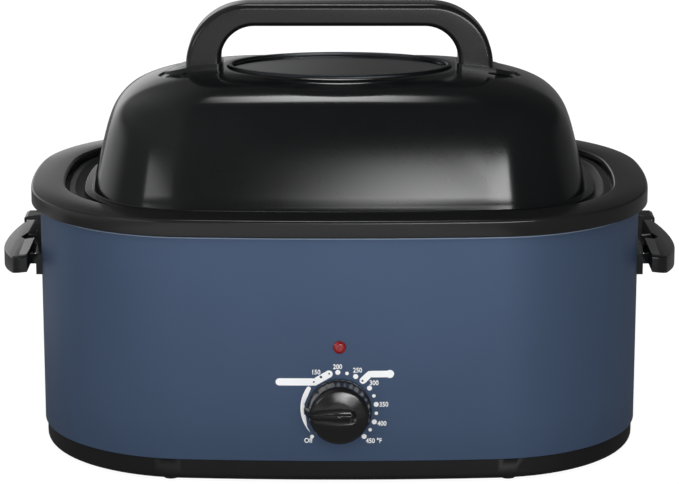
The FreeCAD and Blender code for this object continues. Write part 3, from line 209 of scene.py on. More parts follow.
record = frame["record"]
body_of = {node: body for body, nodes in record["behaviour"]["bodies"].items() for node in nodes}


def settle(piece, *nodes):
    """The piece stands for these CAD nodes and moves with their body."""
    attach(piece, body_of[nodes[0]])
    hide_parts(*nodes)


def coat(finish, *nodes):
    """Give CAD nodes that keep their own shape this finish."""
    for node in nodes:
        mesh = frame["nodes"][node].data
        mesh.materials.clear()
        mesh.materials.append(finish)


def plain_mesh(piece):
    """What an object's modifiers or text come to, as a mesh of its own."""
    return bpy.data.meshes.new_from_object(piece.evaluated_get(bpy.context.evaluated_depsgraph_get()))


class Layout(Nodes):
    """A geometry tree with named sizes that sets pieces out on places, kept as plain mesh."""

    def __init__(self, name, **sizes):
        super().__init__(bpy.data.node_groups.new(name, "GeometryNodeTree"))
        self.sizes = sizes
        self.tree.interface.new_socket("Geometry", in_out="INPUT", socket_type="NodeSocketGeometry")
        self.keys = {}
        for label, value in sizes.items():
            kind = "NodeSocketInt" if isinstance(value, int) else "NodeSocketFloat"
            item = self.tree.interface.new_socket(label, in_out="INPUT", socket_type=kind)
            self.keys[label] = item.identifier
        self.tree.interface.new_socket("Geometry", in_out="OUTPUT", socket_type="NodeSocketGeometry")
        self.given = self.tree.nodes.new("NodeGroupInput")
        self.places = Socket(self, self.given.outputs["Geometry"])

    def size(self, label):
        return Socket(self, self.given.outputs[label])

    def vector(self, x, y, z):
        return self.add("ShaderNodeCombineXYZ", None, {0: x, 1: y, 2: z})

    def turned(self, height, steps, sides, radius):
        """A closed solid turned on the z axis; its radius is worked out from the height reached."""
        top = self.vector(0, 0, height)
        line = self.add("GeometryNodeCurvePrimitiveLine", None, {"Start": (0, 0, 0), "End": top})
        line = self.add("GeometryNodeResampleCurve", None, {"Curve": line, "Count": steps})
        reached = self.add("GeometryNodeSplineParameter") * height
        ring = self.add("GeometryNodeCurvePrimitiveCircle", None, {"Resolution": sides, "Radius": 1.0})
        return self.add("GeometryNodeCurveToMesh", None, {
            "Curve": line, "Profile Curve": ring, "Scale": radius(reached), "Fill Caps": True})

    def set_out(self, points, piece, **where):
        spots = {"Points": points, "Instance": piece}
        spots.update({key.title(): value for key, value in where.items()})
        placed = self.add("GeometryNodeInstanceOnPoints", None, spots)
        return self.add("GeometryNodeRealizeInstances", None, {"Geometry": placed})

    def keep(self, name, geometry, finish, places=((0, 0, 0),)):
        """End the tree, run it on places in millimetres and keep what it makes."""
        metres = self.add("GeometryNodeTransform", None, {"Geometry": geometry, "Scale": (0.001,) * 3})
        coated = self.add("GeometryNodeSetMaterial", None, {"Geometry": metres, "Material": finish})
        self.add("NodeGroupOutput", None, {"Geometry": coated})
        start = bpy.data.meshes.new(name)
        start.from_pydata(places, [], [])
        piece = in_scene(name, start)
        run = piece.modifiers.new("layout", "NODES")
        run.node_group = self.tree
        for label, value in self.sizes.items():
            run[self.keys[label]] = value
        made = plain_mesh(piece)
        piece.modifiers.clear()
        piece.data = made
        made.name = name
        soften(made)
        return piece


def middles(node):
    """The middle of each separate solid of a CAD node, in millimetres."""
    work = welded(frame["nodes"][node].data)
    left = set(work.verts)
    found = []
    while left:
        reached = [left.pop()]
        for vert in reached:
            near = {edge.other_vert(vert) for edge in vert.link_edges} & left
            left -= near
            reached += near
        ends = [[end(v.co[i] for v in reached) for end in (min, max)] for i in range(3)]
        found.append(tuple(1000 * (low + high) / 2 for low, high in ends))
    work.free()
    return sorted(found)


tray_plastic = moulded("tray_plastic", (20, 20, 21), 0.5, 0.6, 0.03, 1.25)
dress("base_tray", tray_plastic)

foot_rubber = moulded("foot_rubber", (34, 34, 36), 0.72, 0.9, 0.05)
foot = Layout("push_in_foot", radius=12.0, thickness=3.0, stem=3.9, stem_length=4.5, edge=1.0)


def foot_radius(z):
    rounding = foot.math("MAXIMUM", 1 - z / foot.size("edge"), 0)
    above = foot.math("GREATER_THAN", z, foot.size("thickness"))
    pad = foot.size("radius") - rounding * rounding * foot.size("edge")
    return pad * (1 - above) + foot.size("stem") * above


foot_height = foot.size("thickness") + foot.size("stem_length")
foot_solid = foot.turned(foot_height, steps=46, sides=40, radius=foot_radius)
feet = foot.keep("push_in_feet", foot.set_out(foot.places, foot_solid), foot_rubber,
                 [(x, y, 0) for x, y, _ in middles("rubber_feet")])
settle(feet, "rubber_feet")


def plated(name, colour, roughness, streak=(1, 1, 1), depth=0.01):
    """Plated or rolled metal: fine streaks along one direction and cloudy, duller patches."""
    finish = Finish(name, Metallic=1.0)
    drawn = finish.add("ShaderNodeMapping", None, {"Vector": finish.where, "Scale": streak})
    lines = finish.noise(1.6, 3, 0.65, drawn)
    clouds = finish.noise(22, 4, 0.6)
    dull = tuple(c * 0.72 for c in shade(colour)[:3]) + (1,)
    finish.vary("Base Color", finish.mix(clouds * 0.6 + lines * 0.4, shade(colour), dull))
    finish.vary("Roughness", roughness + clouds * 0.12 + lines * 0.06 - 0.06)
    finish.bump(lines, depth)
    return finish.material


zinc = plated("zinc_plating", (186, 190, 194), 0.34)
coat(zinc, "base_nuts")


def cross_head_screws(node, turn=0.0):
    """Zinc-plated pan-head screws with a cross recess, one on the place of each CAD screw.

    A screw's head faces down, or, where a turn is given, away from the body's middle.
    """
    low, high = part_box(node)
    found = middles(node)
    if turn:
        places = [(math.copysign(high.x * 1000, x), y, z) for x, y, z in found]
        length = 2 * (high.x * 1000 - max(x for x, _, _ in found))
    else:
        places = [(x, y, low.z * 1000) for x, y, _ in found]
        length = (high.z - low.z) * 1000
    screw = Layout(node + "_layout", head=3.9, head_height=2.6, crown=1.6, crown_loss=0.38, shank=1.95,
                   length=length, recess=4.2, recess_width=0.9, recess_depth=3.0, turn=turn)

    def screw_radius(z):
        crown = screw.math("MAXIMUM", 1 - z / screw.size("head_height") * screw.size("crown"), 0)
        past_head = screw.math("GREATER_THAN", z, screw.size("head_height"))
        head = screw.size("head") * (1 - crown * crown * screw.size("crown_loss"))
        return head * (1 - past_head) + screw.size("shank") * past_head

    solid = screw.turned(screw.size("length"), steps=60, sides=32, radius=screw_radius)
    long, wide, deep = (screw.size(label) for label in ("recess", "recess_width", "recess_depth"))
    slots = [screw.add("GeometryNodeMeshCube", None, {"Size": screw.vector(*size)})
             for size in ((long, wide, deep), (wide, long, deep))]
    headed = screw.add("GeometryNodeMeshBoolean", {"operation": "DIFFERENCE"}, {0: solid, 1: slots})
    side = screw.math("SIGN", screw.part(screw.add("GeometryNodeInputPosition"), 0))
    spin = screw.vector(0, side * screw.size("turn"), 0)
    placed = screw.set_out(screw.places, headed, rotation=spin)
    settle(screw.keep(node + "_cross_head", placed, zinc, places), node)


cross_head_screws("base_screws")
galvanised = plated("galvanised_sheet", (170, 174, 178), 0.4, (0.2, 1, 1))
dress("heat_shield", galvanised)

# ==== Outer wall ==========================================================================
# Steel sheet rolled to the oval and welded at the back, with its lower and upper edges turned
# in and a fine bead rolled just under the rim. It is stoved in slate blue: a smooth, slightly
# metallic paint with a trace of orange peel. Painted shade darkens it a little towards the foot,
# and a painted highlight pales the rounded top of the bead.

# an oval's half length and half depth, then the radii of its front, its corners and its sides
body_outline = (276.0, 187.0, 1900.0, 145.0, 520.0)
middle = 8.0                                  # the body's middle lies this far behind the origin
stations_per_arc = (26, 30, 44)               # points on a side, a corner and the front


def oval_arcs(a, b, front_r, corner_r, side_r):
    """Eight tangent arcs round an oval of half length a and half depth b, from the right."""
    front_c = b - front_r
    side_c = a - side_r
    span = math.hypot(side_c, front_c)
    to_front = front_r - corner_r
    to_side = side_r - corner_r
    along = (to_front**2 - to_side**2 + span**2) / (2 * span)
    across = math.sqrt(to_front**2 - along**2)
    ex, ey = side_c / span, -front_c / span
    cx, cy = along * ex + across * ey, front_c + along * ey - across * ex
    end = math.atan2(cy, cx - side_c)
    start = math.atan2(cy - front_c, cx)
    pi = math.pi
    return (
        (side_c, 0, side_r, -end, end, 0), (cx, cy, corner_r, end, start, 1),
        (0, front_c, front_r, start, pi - start, 2), (-cx, cy, corner_r, pi - start, pi - end, 1),
        (-side_c, 0, side_r, pi - end, pi + end, 0), (-cx, -cy, corner_r, pi + end, pi + start, 1),
        (0, -front_c, front_r, pi + start, 2 * pi - start, 2),
        (cx, -cy, corner_r, 2 * pi - start, 2 * pi - end, 1),
    )


def oval_ring(outline, offset, z):
    """Points round an oval, the same number for every oval, so that rings can be joined."""
    points = []
    for cx, cy, r, a0, a1, kind in oval_arcs(*outline):
        count = stations_per_arc[kind]
        for i in range(count):
            angle = a0 + (a1 - a0) * i / count
            reach = r + offset
            points.append((cx + reach * math.cos(angle), cy + reach * math.sin(angle), z))
    return points


arc_steps = 6                                 # short runs in each rounded corner of a section


def rounded(*points, closed=True):
    """A line through (offset, height, radius) corners, each radius drawn as a short arc."""
    line = []
    count = len(points)
    for i, (x, z, r) in enumerate(points):
        if r == 0 or (not closed and i in (0, count - 1)):
            line.append((x, z))
            continue
        here = Vector((x, z))
        before = Vector(points[i - 1][:2]) - here
        after = Vector(points[(i + 1) % count][:2]) - here
        half = before.angle(after) / 2
        reach = r / math.tan(half)
        centre = here + (before.normalized() + after.normalized()).normalized() * (r / math.sin(half))
        start = here + before.normalized() * reach - centre
        turn = start.angle_signed(here + after.normalized() * reach - centre)
        for k in range(arc_steps + 1):
            angle = turn * k / arc_steps
            c, s = math.cos(angle), math.sin(angle)
            line.append((centre.x + start.x * c + start.y * s, centre.y - start.x * s + start.y * c))
    return line


def piece_from(name, points, faces, finish, sharp=32):
    """A piece at its place: points in millimetres from the body's middle, faces turned outwards."""
    mesh = bpy.data.meshes.new(name)
    mesh.from_pydata([(x / 1000, (y + middle) / 1000, z / 1000) for x, y, z in points], [], faces)
    work = bmesh.new()
    work.from_mesh(mesh)
    bmesh.ops.remove_doubles(work, verts=work.verts, dist=1e-6)
    bmesh.ops.recalc_face_normals(work, faces=work.faces)
    work.to_mesh(mesh)
    work.free()
    mesh.materials.append(finish)
    soften(mesh, sharp)
    return in_scene(name, mesh)


def joined_rings(rings):
    """Quads between rings of equal length, with the last ring joined to the first."""
    count = len(rings[0])
    points = [point for ring in rings for point in ring]
    faces = []
    for i in range(len(rings)):
        low, high = i * count, (i + 1) % len(rings) * count
        for k in range(count):
            after = (k + 1) % count
            faces.append((low + k, low + after, high + after, high + k))
    return points, faces


def swept(name, line, finish):
    """A closed section, as (offset, height), swept round the body's outline."""
    points, faces = joined_rings([oval_ring(body_outline, x, z) for x, z in line])
    return piece_from(name, points, faces, finish)


def rise(nodes, value, start, end, low=0.0, high=1.0):
    """Low before the start, high after the end and smooth between them."""
    return nodes.add("ShaderNodeMapRange", {"interpolation_type": "SMOOTHSTEP"},
                     {0: value, 1: start, 2: end, 3: low, 4: high})


base_top, wall_top = 22.5, 232.5
turned_in, sheet = -18, 1                     # the edges are turned in by this much; the steel's gauge
bead_low, bead_height = 224.2, 1.8            # the bead that is rolled in under the rim
bead_proud, bead_slope = 0.9, 0.5
foot_painted_shade_height = 45                               # the paint darkens over this much above the base
paint = Finish("slate_blue_paint", IOR=1.12)
cloud = paint.noise(70, 3, 0.5)
flake = paint.noise(0.35, 1, 0.5)
peel = paint.noise(2.6, 2, 0.45)
blue = paint.mix(cloud * 0.55 + flake * 0.45, shade((68, 84, 108)), shade((76, 92, 118)))
height = paint.part(paint.where, 2)
# painted shade: the blue is darkened towards the base, where shade falls on the wall
painted_foot_shade = rise(paint, height, base_top + foot_painted_shade_height, base_top, 0.0, 0.32)
# painted highlight: a paler blue along the rounded top of the bead under the rim
from_bead = paint.math("ABSOLUTE", height - bead_low - bead_height / 2)
bead_highlight = rise(paint, from_bead, 1.1, 0.3)
lower = paint.mix(painted_foot_shade, blue, shade((60, 75, 98)))
paint.vary("Base Color", paint.mix(bead_highlight * 0.75, lower, shade((150, 165, 186))))
paint.vary("Roughness", 0.38 + cloud * 0.06 + flake * 0.04)
paint.vary("Metallic", 0.36 + flake * 0.08)
paint.bump(peel * 0.8 + flake * 0.2, 0.02)
wall = swept("painted_wall", rounded(
    (0, base_top, 0.8), (0, bead_low, 0.3), (bead_proud, bead_low + bead_slope, 0.4),
    (bead_proud, bead_low + bead_height - bead_slope, 0.4), (0, bead_low + bead_height, 0),
    (0, wall_top, 0.8), (turned_in, wall_top, 0), (turned_in, wall_top - sheet, 0),
    (-sheet, wall_top - sheet, 0.4), (-sheet, base_top + sheet, 0.4),
    (turned_in, base_top + sheet, 0), (turned_in, base_top, 0)), paint.material)
settle(wall, "outer_wall")

# ==== Dial print ==========================================================================
# The scale is pad-printed in one white ink round the knob: figures and dots for the heat,
# a crescent that widens towards the low end, and two pills for the low settings. Small dots in
# the pills are left bare of ink, so that the blue shows.

knob_axis = 70.5
print_lift = 0.12                             # clear of the wall's slight bow
ink_thickness = 0.04
round_sides = 28                              # sides of a printed dot


def wall_y(x):
    """The wall's front face at a distance from the middle."""
    return -(body_outline[1] - body_outline[2] + math.sqrt(body_outline[2] ** 2 - x * x))


def printed(name, shapes, finish, lift=print_lift):
    """Flat prints on the wall: each shape is a list of outline points about the knob's axis."""
    work = bmesh.new()
    for shape in shapes:
        top = [work.verts.new((x, 0, z)) for x, z in shape]
        work.faces.new(top)
    bmesh.ops.triangulate(work, faces=work.faces[:])
    on_wall(work, lift)
    print_piece(name, work, finish)


def on_wall(work, lift):
    """Carry shapes drawn about the knob's axis, in millimetres, to the wall's bowed face."""
    for vert in work.verts:
        x, z = vert.co.x, vert.co.z
        vert.co = (x / 1000, (wall_y(x) - lift + middle) / 1000, (z + knob_axis) / 1000)


def print_piece(name, work, finish):
    """Give the drawn faces the ink's thickness and keep them as a piece on the wall."""
    for face in work.faces:
        face.normal_update()
        if face.normal.y > 0:
            face.normal_flip()
    solid = bmesh.ops.extrude_face_region(work, geom=work.faces[:])
    for vert in [v for v in solid["geom"] if isinstance(v, bmesh.types.BMVert)]:
        vert.co.y -= ink_thickness / 1000
    bmesh.ops.recalc_face_normals(work, faces=work.faces)
    mesh = bpy.data.meshes.new(name)
    work.to_mesh(mesh)
    work.free()
    mesh.materials.append(finish)
    piece = in_scene(name, mesh)
    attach(piece, "root")


def ink(name, colour):
    """Printing ink: flat, with the faint mottle of the pad."""
    finish = Finish(name, IOR=1.4, Roughness=0.5)
    mottle = finish.noise(0.9, 3, 0.6)
    worn = tuple(c * 0.93 for c in shade(colour)[:3]) + (1,)
    finish.vary("Base Color", finish.mix(mottle, worn, shade(colour)))
    finish.bump(mottle, 0.01)
    return finish.material


white_ink = ink("white_ink", (252, 253, 254))
blue_ink = ink("blue_ink", (30, 38, 52))


def disc(x, z, radius):
    steps = [2 * math.pi * i / round_sides for i in range(round_sides)]
    return [(x + radius * math.cos(a), z + radius * math.sin(a)) for a in steps]


longest_run, cap_steps = 2.5, 9               # how finely a pill's sides and round ends are cut


def band(path, width):
    """A pill round a path: parallel sides, round ends, and cut often enough to follow the wall."""
    centre = []
    for (x0, z0), (x1, z1) in zip(path, path[1:]):
        steps = max(2, int(math.hypot(x1 - x0, z1 - z0) / longest_run))
        centre += [(x0 + (x1 - x0) * i / steps, z0 + (z1 - z0) * i / steps) for i in range(steps)]
    centre.append(path[-1])
    one, two = [], []
    for i, (x, z) in enumerate(centre):
        ax, az = centre[max(0, i - 1)]
        bx, bz = centre[min(len(centre) - 1, i + 1)]
        size = math.hypot(bx - ax, bz - az)
        nx, nz = -(bz - az) / size, (bx - ax) / size
        one.append((x + nx * width / 2, z + nz * width / 2))
        two.append((x - nx * width / 2, z - nz * width / 2))

    def cap(end, near):
        """The round end of a pill, on the far side from the point near it."""
        dx, dz = end[0] - near[0], end[1] - near[1]
        size = math.hypot(dx, dz)
        ux, uz = dx / size, dz / size
        return [(end[0] + width / 2 * (math.cos(t) * -uz + math.sin(t) * ux),
                 end[1] + width / 2 * (math.cos(t) * ux + math.sin(t) * uz))
                for t in [math.pi * k / cap_steps for k in range(1, cap_steps)]]

    return one + cap(centre[-1], centre[-2]) + two[::-1] + cap(centre[0], centre[1])


low_pill = band([(-52.9, 25.2), (-21.6, 25.3), (-9.3, 32.6)], 6.6)
thaw_pill = band([(20.6, 26.6), (26.4, 32.4), (43.6, 32.5)], 6.0)
thaw_end = disc(44.2, 32.5, 3.7)
off_dot = disc(-24.2, -25.0, 1.75)
crescent_ring, crescent_width, crescent_tip = 33.2, 3.7, 0.12
crescent_start, crescent_span, crescent_steps = 144.7, 74.1, 24  # from its wide end to its tip
crescent = []
for i in range(crescent_steps + 1):
    part = i / crescent_steps
    width = crescent_width * (1 - part) ** 0.62 * (1 - 0.25 * part) + crescent_tip
    crescent.append((math.radians(crescent_start + crescent_span * part), width / 2))


def on_ring(angle, beyond=0.0):
    """A point on the crescent's ring, or so far outside it."""
    return (crescent_ring + beyond) * math.cos(angle), (crescent_ring + beyond) * math.sin(angle)


crescent_shape = [on_ring(angle, half) for angle, half in crescent]
crescent_shape += [on_ring(angle, -half) for angle, half in crescent[::-1]]
crescent_end = disc(*on_ring(crescent[0][0]), 1.9)
# the bare places are laid over the pills in the blue that shows through them
bare_dots = [disc(-22.6, 25.3, 0.8), disc(-16.3, 29.8, 1.2), disc(-9.1, 32.9, 0.8), disc(20.2, 26.3, 0.9)]
printed("scale_pills", [low_pill, thaw_pill, crescent_shape, off_dot], white_ink)
printed("scale_rounds", [thaw_end, crescent_end], white_ink, print_lift + 0.02)
printed("pill_dots", bare_dots, blue_ink, print_lift + 0.06)

# fourteen places round the knob; the first three and the one at the end of a pill stay empty
dots = Layout("scale_dots_layout", count=14, ring=34.1, first=math.radians(131.1),
              pitch=math.radians(13.7), large=2.25, small=1.6, aside=-1.5, first_shown=3, in_pill=6,
              axis=knob_axis, bow=body_outline[2], front=body_outline[1] + print_lift)
number = dots.add("GeometryNodeInputIndex")
turn = dots.size("first") - number * dots.size("pitch")
across = dots.math("COSINE", turn) * dots.size("ring") + dots.size("aside")
up = dots.math("SINE", turn) * dots.size("ring") + dots.size("axis")
behind = dots.math("SQRT", dots.size("bow") ** 2 - across * across)
wall_front = dots.size("bow") - dots.size("front") - behind + middle
odd = dots.math("MODULO", number, 2)
spots = dots.add("GeometryNodeMeshLine", {"mode": "OFFSET"}, {"Count": dots.size("count")})
spots = dots.add("GeometryNodeSetPosition", None, {
    "Geometry": spots, "Position": dots.vector(across, wall_front, up)})
spot = dots.add("GeometryNodeMeshCylinder", None, {
    "Vertices": round_sides, "Radius": 1.0, "Depth": 2 * ink_thickness})
wide = dots.size("small") + (dots.size("large") - dots.size("small")) * odd
in_pill = dots.math("COMPARE", number, dots.size("in_pill"))
shown = dots.math("GREATER_THAN", number, dots.size("first_shown") - 0.5) * (1 - in_pill)
dotted = dots.set_out(spots, spot, selection=shown, rotation=(math.pi / 2, 0, 0),
                      scale=dots.vector(wide, wide, 1))
printed_dots = dots.keep("scale_dots", dotted, white_ink)
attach(printed_dots, "root")

figures = (("150", -20.8, 34.0), ("200", -1.7, 39.0), ("250", 15.8, 35.8), ("300", 30.3, 24.2),
           ("350", 38.9, 4.4), ("400", 37.4, -13.2), ("450 \u00b0F", 30.3, -29.1), ("Off", -27.6, -28.8))
figure_size, figure_weight, figure_narrowing = 6.1, 0.17, 0.88
work = bmesh.new()
for text, x, z in figures:
    curve = bpy.data.curves.new("figures", "FONT")
    curve.body = text
    curve.size = figure_size
    curve.align_x = "CENTER"
    curve.align_y = "CENTER"
    curve.offset = figure_weight
    curve.resolution_u = 4
    curve.fill_mode = "FRONT"
    holder = in_scene("figures", curve)
    bpy.context.view_layer.update()
    glyphs = plain_mesh(holder)
    bpy.data.objects.remove(holder)
    bpy.data.curves.remove(curve)
    for vert in glyphs.vertices:
        vert.co = (vert.co.x * figure_narrowing + x, 0, vert.co.y + z)
    work.from_mesh(glyphs)
    bpy.data.meshes.remove(glyphs)
bmesh.ops.remove_doubles(work, verts=work.verts, dist=1e-4)
on_wall(work, print_lift)
print_piece("scale_figures", work, white_ink)

# ==== Cooking well, insulation and heater =================================================
# The fixed well is one deep-drawn steel pan in dark enamel, hung in the wall by its flange.
# A mica band heater is clamped round its wall, and a glass-fibre batt fills the space outside.

enamel_dark = Finish("well_enamel", IOR=1.5)
speck = enamel_dark.noise(0.8, 2, 0.7)
bath = enamel_dark.noise(60, 3, 0.5)
enamel_dark.vary("Base Color", enamel_dark.mix(
    enamel_dark.ramp(speck, (0.62, 0.0), (0.68, 1.0)), shade((34, 35, 37)), shade((92, 94, 97))))
enamel_dark.vary("Roughness", 0.22 + bath * 0.12)
enamel_dark.bump(bath * 0.7 + speck * 0.3, 0.05)
dress("cooking_well", enamel_dark.material)

fibre = Finish("glass_fibre", IOR=1.3, Roughness=0.95)
strands = fibre.noise(3.2, 6, 0.75)
tufts = fibre.noise(14, 3, 0.6)
fibre.vary("Base Color", fibre.mix(
    strands * 0.5 + tufts * 0.5, shade((236, 230, 206)), shade((196, 186, 150))))
fibre.bump(strands, 0.9)
coat(fibre.material, "well_insulation")

mica = plated("mica_band_steel", (150, 146, 138), 0.45, (0.05, 0.05, 1))
dress("heating_band", mica)
coat(zinc, "band_clamp")
coat(zinc, "band_terminals")

# ==== Rim bezel ===========================================================================
# A black moulding that caps the wall, laps over the well's flange and frames the recess in
# which the pan hangs. Its top slopes up a little towards the recess and has soft edges; six
# screws reach it from under the flange.

rim_plastic = moulded("rim_plastic", (26, 26, 27), 0.17, 0.55, 0.004, 1.33)
rim_outer, rim_inner, rim_wall = 8, -23.5, 2.5  # its edges, from the body's outline, and its gauge
rim_bottom, rim_seat, rim_top, rim_peak = 227.5, 233.5, 242.5, 243.7
rim = swept("rim_moulding", rounded(
    (rim_outer, rim_bottom, 1.0), (rim_outer, rim_top, 2.6), (rim_inner, rim_peak, 2.2),
    (rim_inner, rim_seat, 0), (rim_inner + rim_wall, rim_seat, 0),
    (rim_inner + rim_wall, rim_peak - rim_wall, 0.8), (rim_outer - rim_wall, rim_top - 2.4, 0.8),
    (rim_outer - rim_wall, rim_bottom, 0)), rim_plastic)
settle(rim, "rim_bezel")
cross_head_screws("rim_screws")

# ==== Thermostat, sensor and indicator ====================================================
# A bracket behind the wall holds the hydraulic thermostat, whose capillary leads to a copper
# bulb on the well. Above the knob a small red lens is clipped into the wall before its neon
# lamp; the lens has a prismatic back, and painted glints make each facet paler in its middle
# and darker at its edges.

thermostat_case = moulded("thermostat_case", (214, 210, 198), 0.5, 0.7, 0.02)
dress("thermostat_body", thermostat_case)
coat(galvanised, "thermostat_bracket")
brass = plated("turned_brass", (196, 164, 98), 0.28)
coat(brass, "thermostat_nut")
copper = plated("copper_tube", (188, 118, 84), 0.3)
dress("sensor_bulb", copper)
coat(zinc, "lens_clip")

lamp_glass = Finish("lamp_glass", IOR=1.5, Roughness=0.08, Transmission_Weight=0.6)
glow = lamp_glass.noise(2.2, 1)
lamp_glass.vary("Base Color", lamp_glass.mix(glow, shade((255, 176, 120)), shade((238, 128, 84))))
dress("neon_lamp", lamp_glass.material)

lens_red = Finish("red_lens", IOR=1.6)
facets_and_glints = lens_red.add("ShaderNodeTexVoronoi", {"feature": "F1"}, {"Vector": lens_red.where, "Scale": 0.7})
# painted glints and shade: each facet's red is paler in its middle and darker towards its edges
lens_red.vary("Base Color", lens_red.mix(facets_and_glints, shade((158, 26, 30)), shade((104, 8, 14))))
lens_red.vary("Roughness", 0.03 + facets_and_glints * 0.06)
lens_red.bump(facets_and_glints, 0.1)
dress("indicator_lens", lens_red.material)

# ==== Control knob ========================================================================
# A black phenolic knob with a milled skirt, a crowned face and a grip bar left standing between
# two scoops. A vee pointer on the skirt runs along the scale. The knob is pressed on the flat
# of the brass shaft.

knob_plastic = Finish("knob_plastic", IOR=1.42)
scuff = knob_plastic.noise(0.8, 2, 0.6)
knob_plastic.vary("Base Color", knob_plastic.mix(scuff, shade((19, 19, 20)), shade((25, 25, 26))))
knob_plastic.vary("Roughness", 0.16 + scuff * 0.08)
cap_radius, cap_crown = 25.0, 2.1             # the polished face bulges by this much in its middle
cap_x = knob_plastic.part(knob_plastic.where, 0)
cap_z = knob_plastic.part(knob_plastic.where, 2) - knob_axis
knob_plastic.bump(1 - (cap_x * cap_x + cap_z * cap_z) / cap_radius**2, cap_crown)
dress("control_knob", knob_plastic.material, 26)
dress("thermostat_shaft", brass)

# ==== Cord inlet and wiring ===============================================================
# A grommet with a round flange sits low in the back for the mains cord, held by a nut. Behind it
# a steatite block joins the cord to sleeved leads that run to the thermostat and the band.

dress("cord_gland", rim_plastic)
coat(rim_plastic, "gland_nut")
ceramic = moulded("steatite", (224, 219, 206), 0.42, 0.5, 0.03)
coat(ceramic, "terminal_block")
sleeving = Finish("glass_sleeving", IOR=1.4, Roughness=0.8)
braid = sleeving.add("ShaderNodeTexWave", {"wave_type": "BANDS", "bands_direction": "DIAGONAL"},
                     {"Vector": sleeving.where, "Scale": 0.45, "Distortion": 1.5, "Detail": 1.0})
sleeving.vary("Base Color", sleeving.mix(braid, shade((206, 200, 186)), shade((168, 160, 142))))
sleeving.bump(braid, 0.2)
dress("mains_leads", sleeving.material)

# ==== Side handles ========================================================================
# Each is one black moulding: a plate screwed to the wall, a broad hollow grip that droops
# outwards, and a hook above it with a bevelled lip. The gates are trimmed flush.

handle_plastic = moulded("handle_plastic", (24, 24, 25), 0.22, 0.6, 0.008, 1.3)
dress("right_side_handle", handle_plastic, 26)
dress("left_side_handle", handle_plastic, 26)
cross_head_screws("side_handle_screws", -math.pi / 2)

# ==== Roasting pan ========================================================================
# The removable pan is deep-drawn steel in black enamel with pale specks. Its edge is rolled into
# a bead that stands in the rim's recess, and the flat inside the bead carries the lid.

pan_enamel = Finish("pan_enamel", IOR=1.35)
grit = pan_enamel.noise(0.7, 2, 0.7)
run = pan_enamel.noise(40, 3, 0.5)
pan_enamel.vary("Base Color", pan_enamel.mix(
    pan_enamel.ramp(grit, (0.6, 0.0), (0.7, 1.0)), shade((26, 27, 28)), shade((80, 82, 85))))
pan_enamel.vary("Roughness", 0.32 + run * 0.1)
pan_enamel.vary("Metallic", 0.05 + run * 0.05)
pan_enamel.bump(run * 0.7 + grit * 0.3, 0.05)
dress("roasting_pan", pan_enamel.material)

# ==== Wire rack ===========================================================================
# Steel wire, resistance-welded and chromed: a frame in the pan's outline, fifteen bars across
# it, and two runners whose raised loops lift the roast out.

chrome = plated("chromed_wire", (205, 208, 212), 0.16, (1, 1, 1), 0.006)
dress("rack_grid", chrome, 50)
dress("rack_handles", chrome, 50)

# ==== Lid =================================================================================
# Deep-drawn steel in gloss black enamel, domed to a flat oval crown that takes the window, and
# pressed in a little along the window and round the handle's feet. The wall's foot is turned out
# into a narrow brim that rests on the pan; a welded skirt inside it keeps the lid centred.

lid_enamel = Finish("lid_enamel", IOR=1.33)
orange = lid_enamel.noise(3.4, 2, 0.5)
haze = lid_enamel.noise(55, 4, 0.6)
lid_enamel.vary("Base Color", lid_enamel.mix(haze, shade((15, 16, 17)), shade((22, 23, 24))))
lid_enamel.vary("Roughness", 0.125 + haze * 0.012)
lid_enamel.bump(orange, 0.0012)

brim_bottom, lid_height, lid_sheet = 236.3, 107.3, 1.5
crown_top = brim_bottom + lid_height
lid_foot = (228, 139, 1852, 97, 472)          # the dome's oval at its foot
crown_draws_in = (93.0, 47.0)                 # how far the shoulder draws in its length and depth
crown_radii = (185, 46, 60)                   # the three radii at the crown
draft = 0.25                                  # how far the wall leans in for each unit of height
dome_power, dome_roll = 8.5, 1.2              # how late and how tightly the shoulder turns
straight = 0.62                               # the part of the height that is plain wall
straight_rings, shoulder_rings = 10, 64
window_a, window_b, trim_width = 98.5, 57.0, 5.3  # half axes of the window's oval, and its trim
leg_outside, pad_tip, pad_half = 143.5, 161.5, 18.0  # a pad's nose: its start, tip and half width


def dome_outline(fraction, shoulder, inset):
    """The oval of the lid at a part of its height; shoulder is 0 at the wall and 1 at the crown."""
    blend = (fraction + shoulder) / 2
    lean = draft * lid_height * fraction
    halves = [half - inset - lean - drawn * shoulder for half, drawn in zip(lid_foot, crown_draws_in)]
    radii = [wide * (1 - blend) + tight * blend - inset for wide, tight in zip(lid_foot[2:], crown_radii)]
    return halves + radii


def dome_rings(inset):
    """Rings of the dome from its foot to its crown, closer together over the shoulder."""
    start = math.asin(straight ** (dome_power / 2))
    turns = [start + (math.pi / 2 - start) * i / shoulder_rings for i in range(shoulder_rings + 1)]
    fractions = [straight * i / straight_rings for i in range(straight_rings)]
    fractions += [math.sin(turn) ** (2 / dome_power) for turn in turns]
    rings = []
    for fraction in fractions:
        shoulder = 1 - max(0.0, 1 - fraction**dome_power) ** (1 / dome_roll)
        z = brim_bottom + (lid_height - inset) * fraction
        rings.append(oval_ring(dome_outline(fraction, shoulder, inset), 0, z))
    return rings


def eased(value, start, width):
    """0 up to the start, 1 from so far past it and smooth between them."""
    part = min(max((value - start) / width, 0.0), 1.0)
    return part * part * (3 - 2 * part)


# two low steps before and behind the window: each starts so far outside the trim and takes so far
step_depth, first_step, second_step, steps_fade = 0.7, (4, 1.6), (11.5, 2.2), (18, 20)
steps_half_length = 88
# the dimple round a pad's nose: its depth, its slope outside the nose, and its start along the pad
dimple_depth, dimple_slope, dimple_start = 1.5, (1.2, 4.2), (leg_outside - 9, 6)


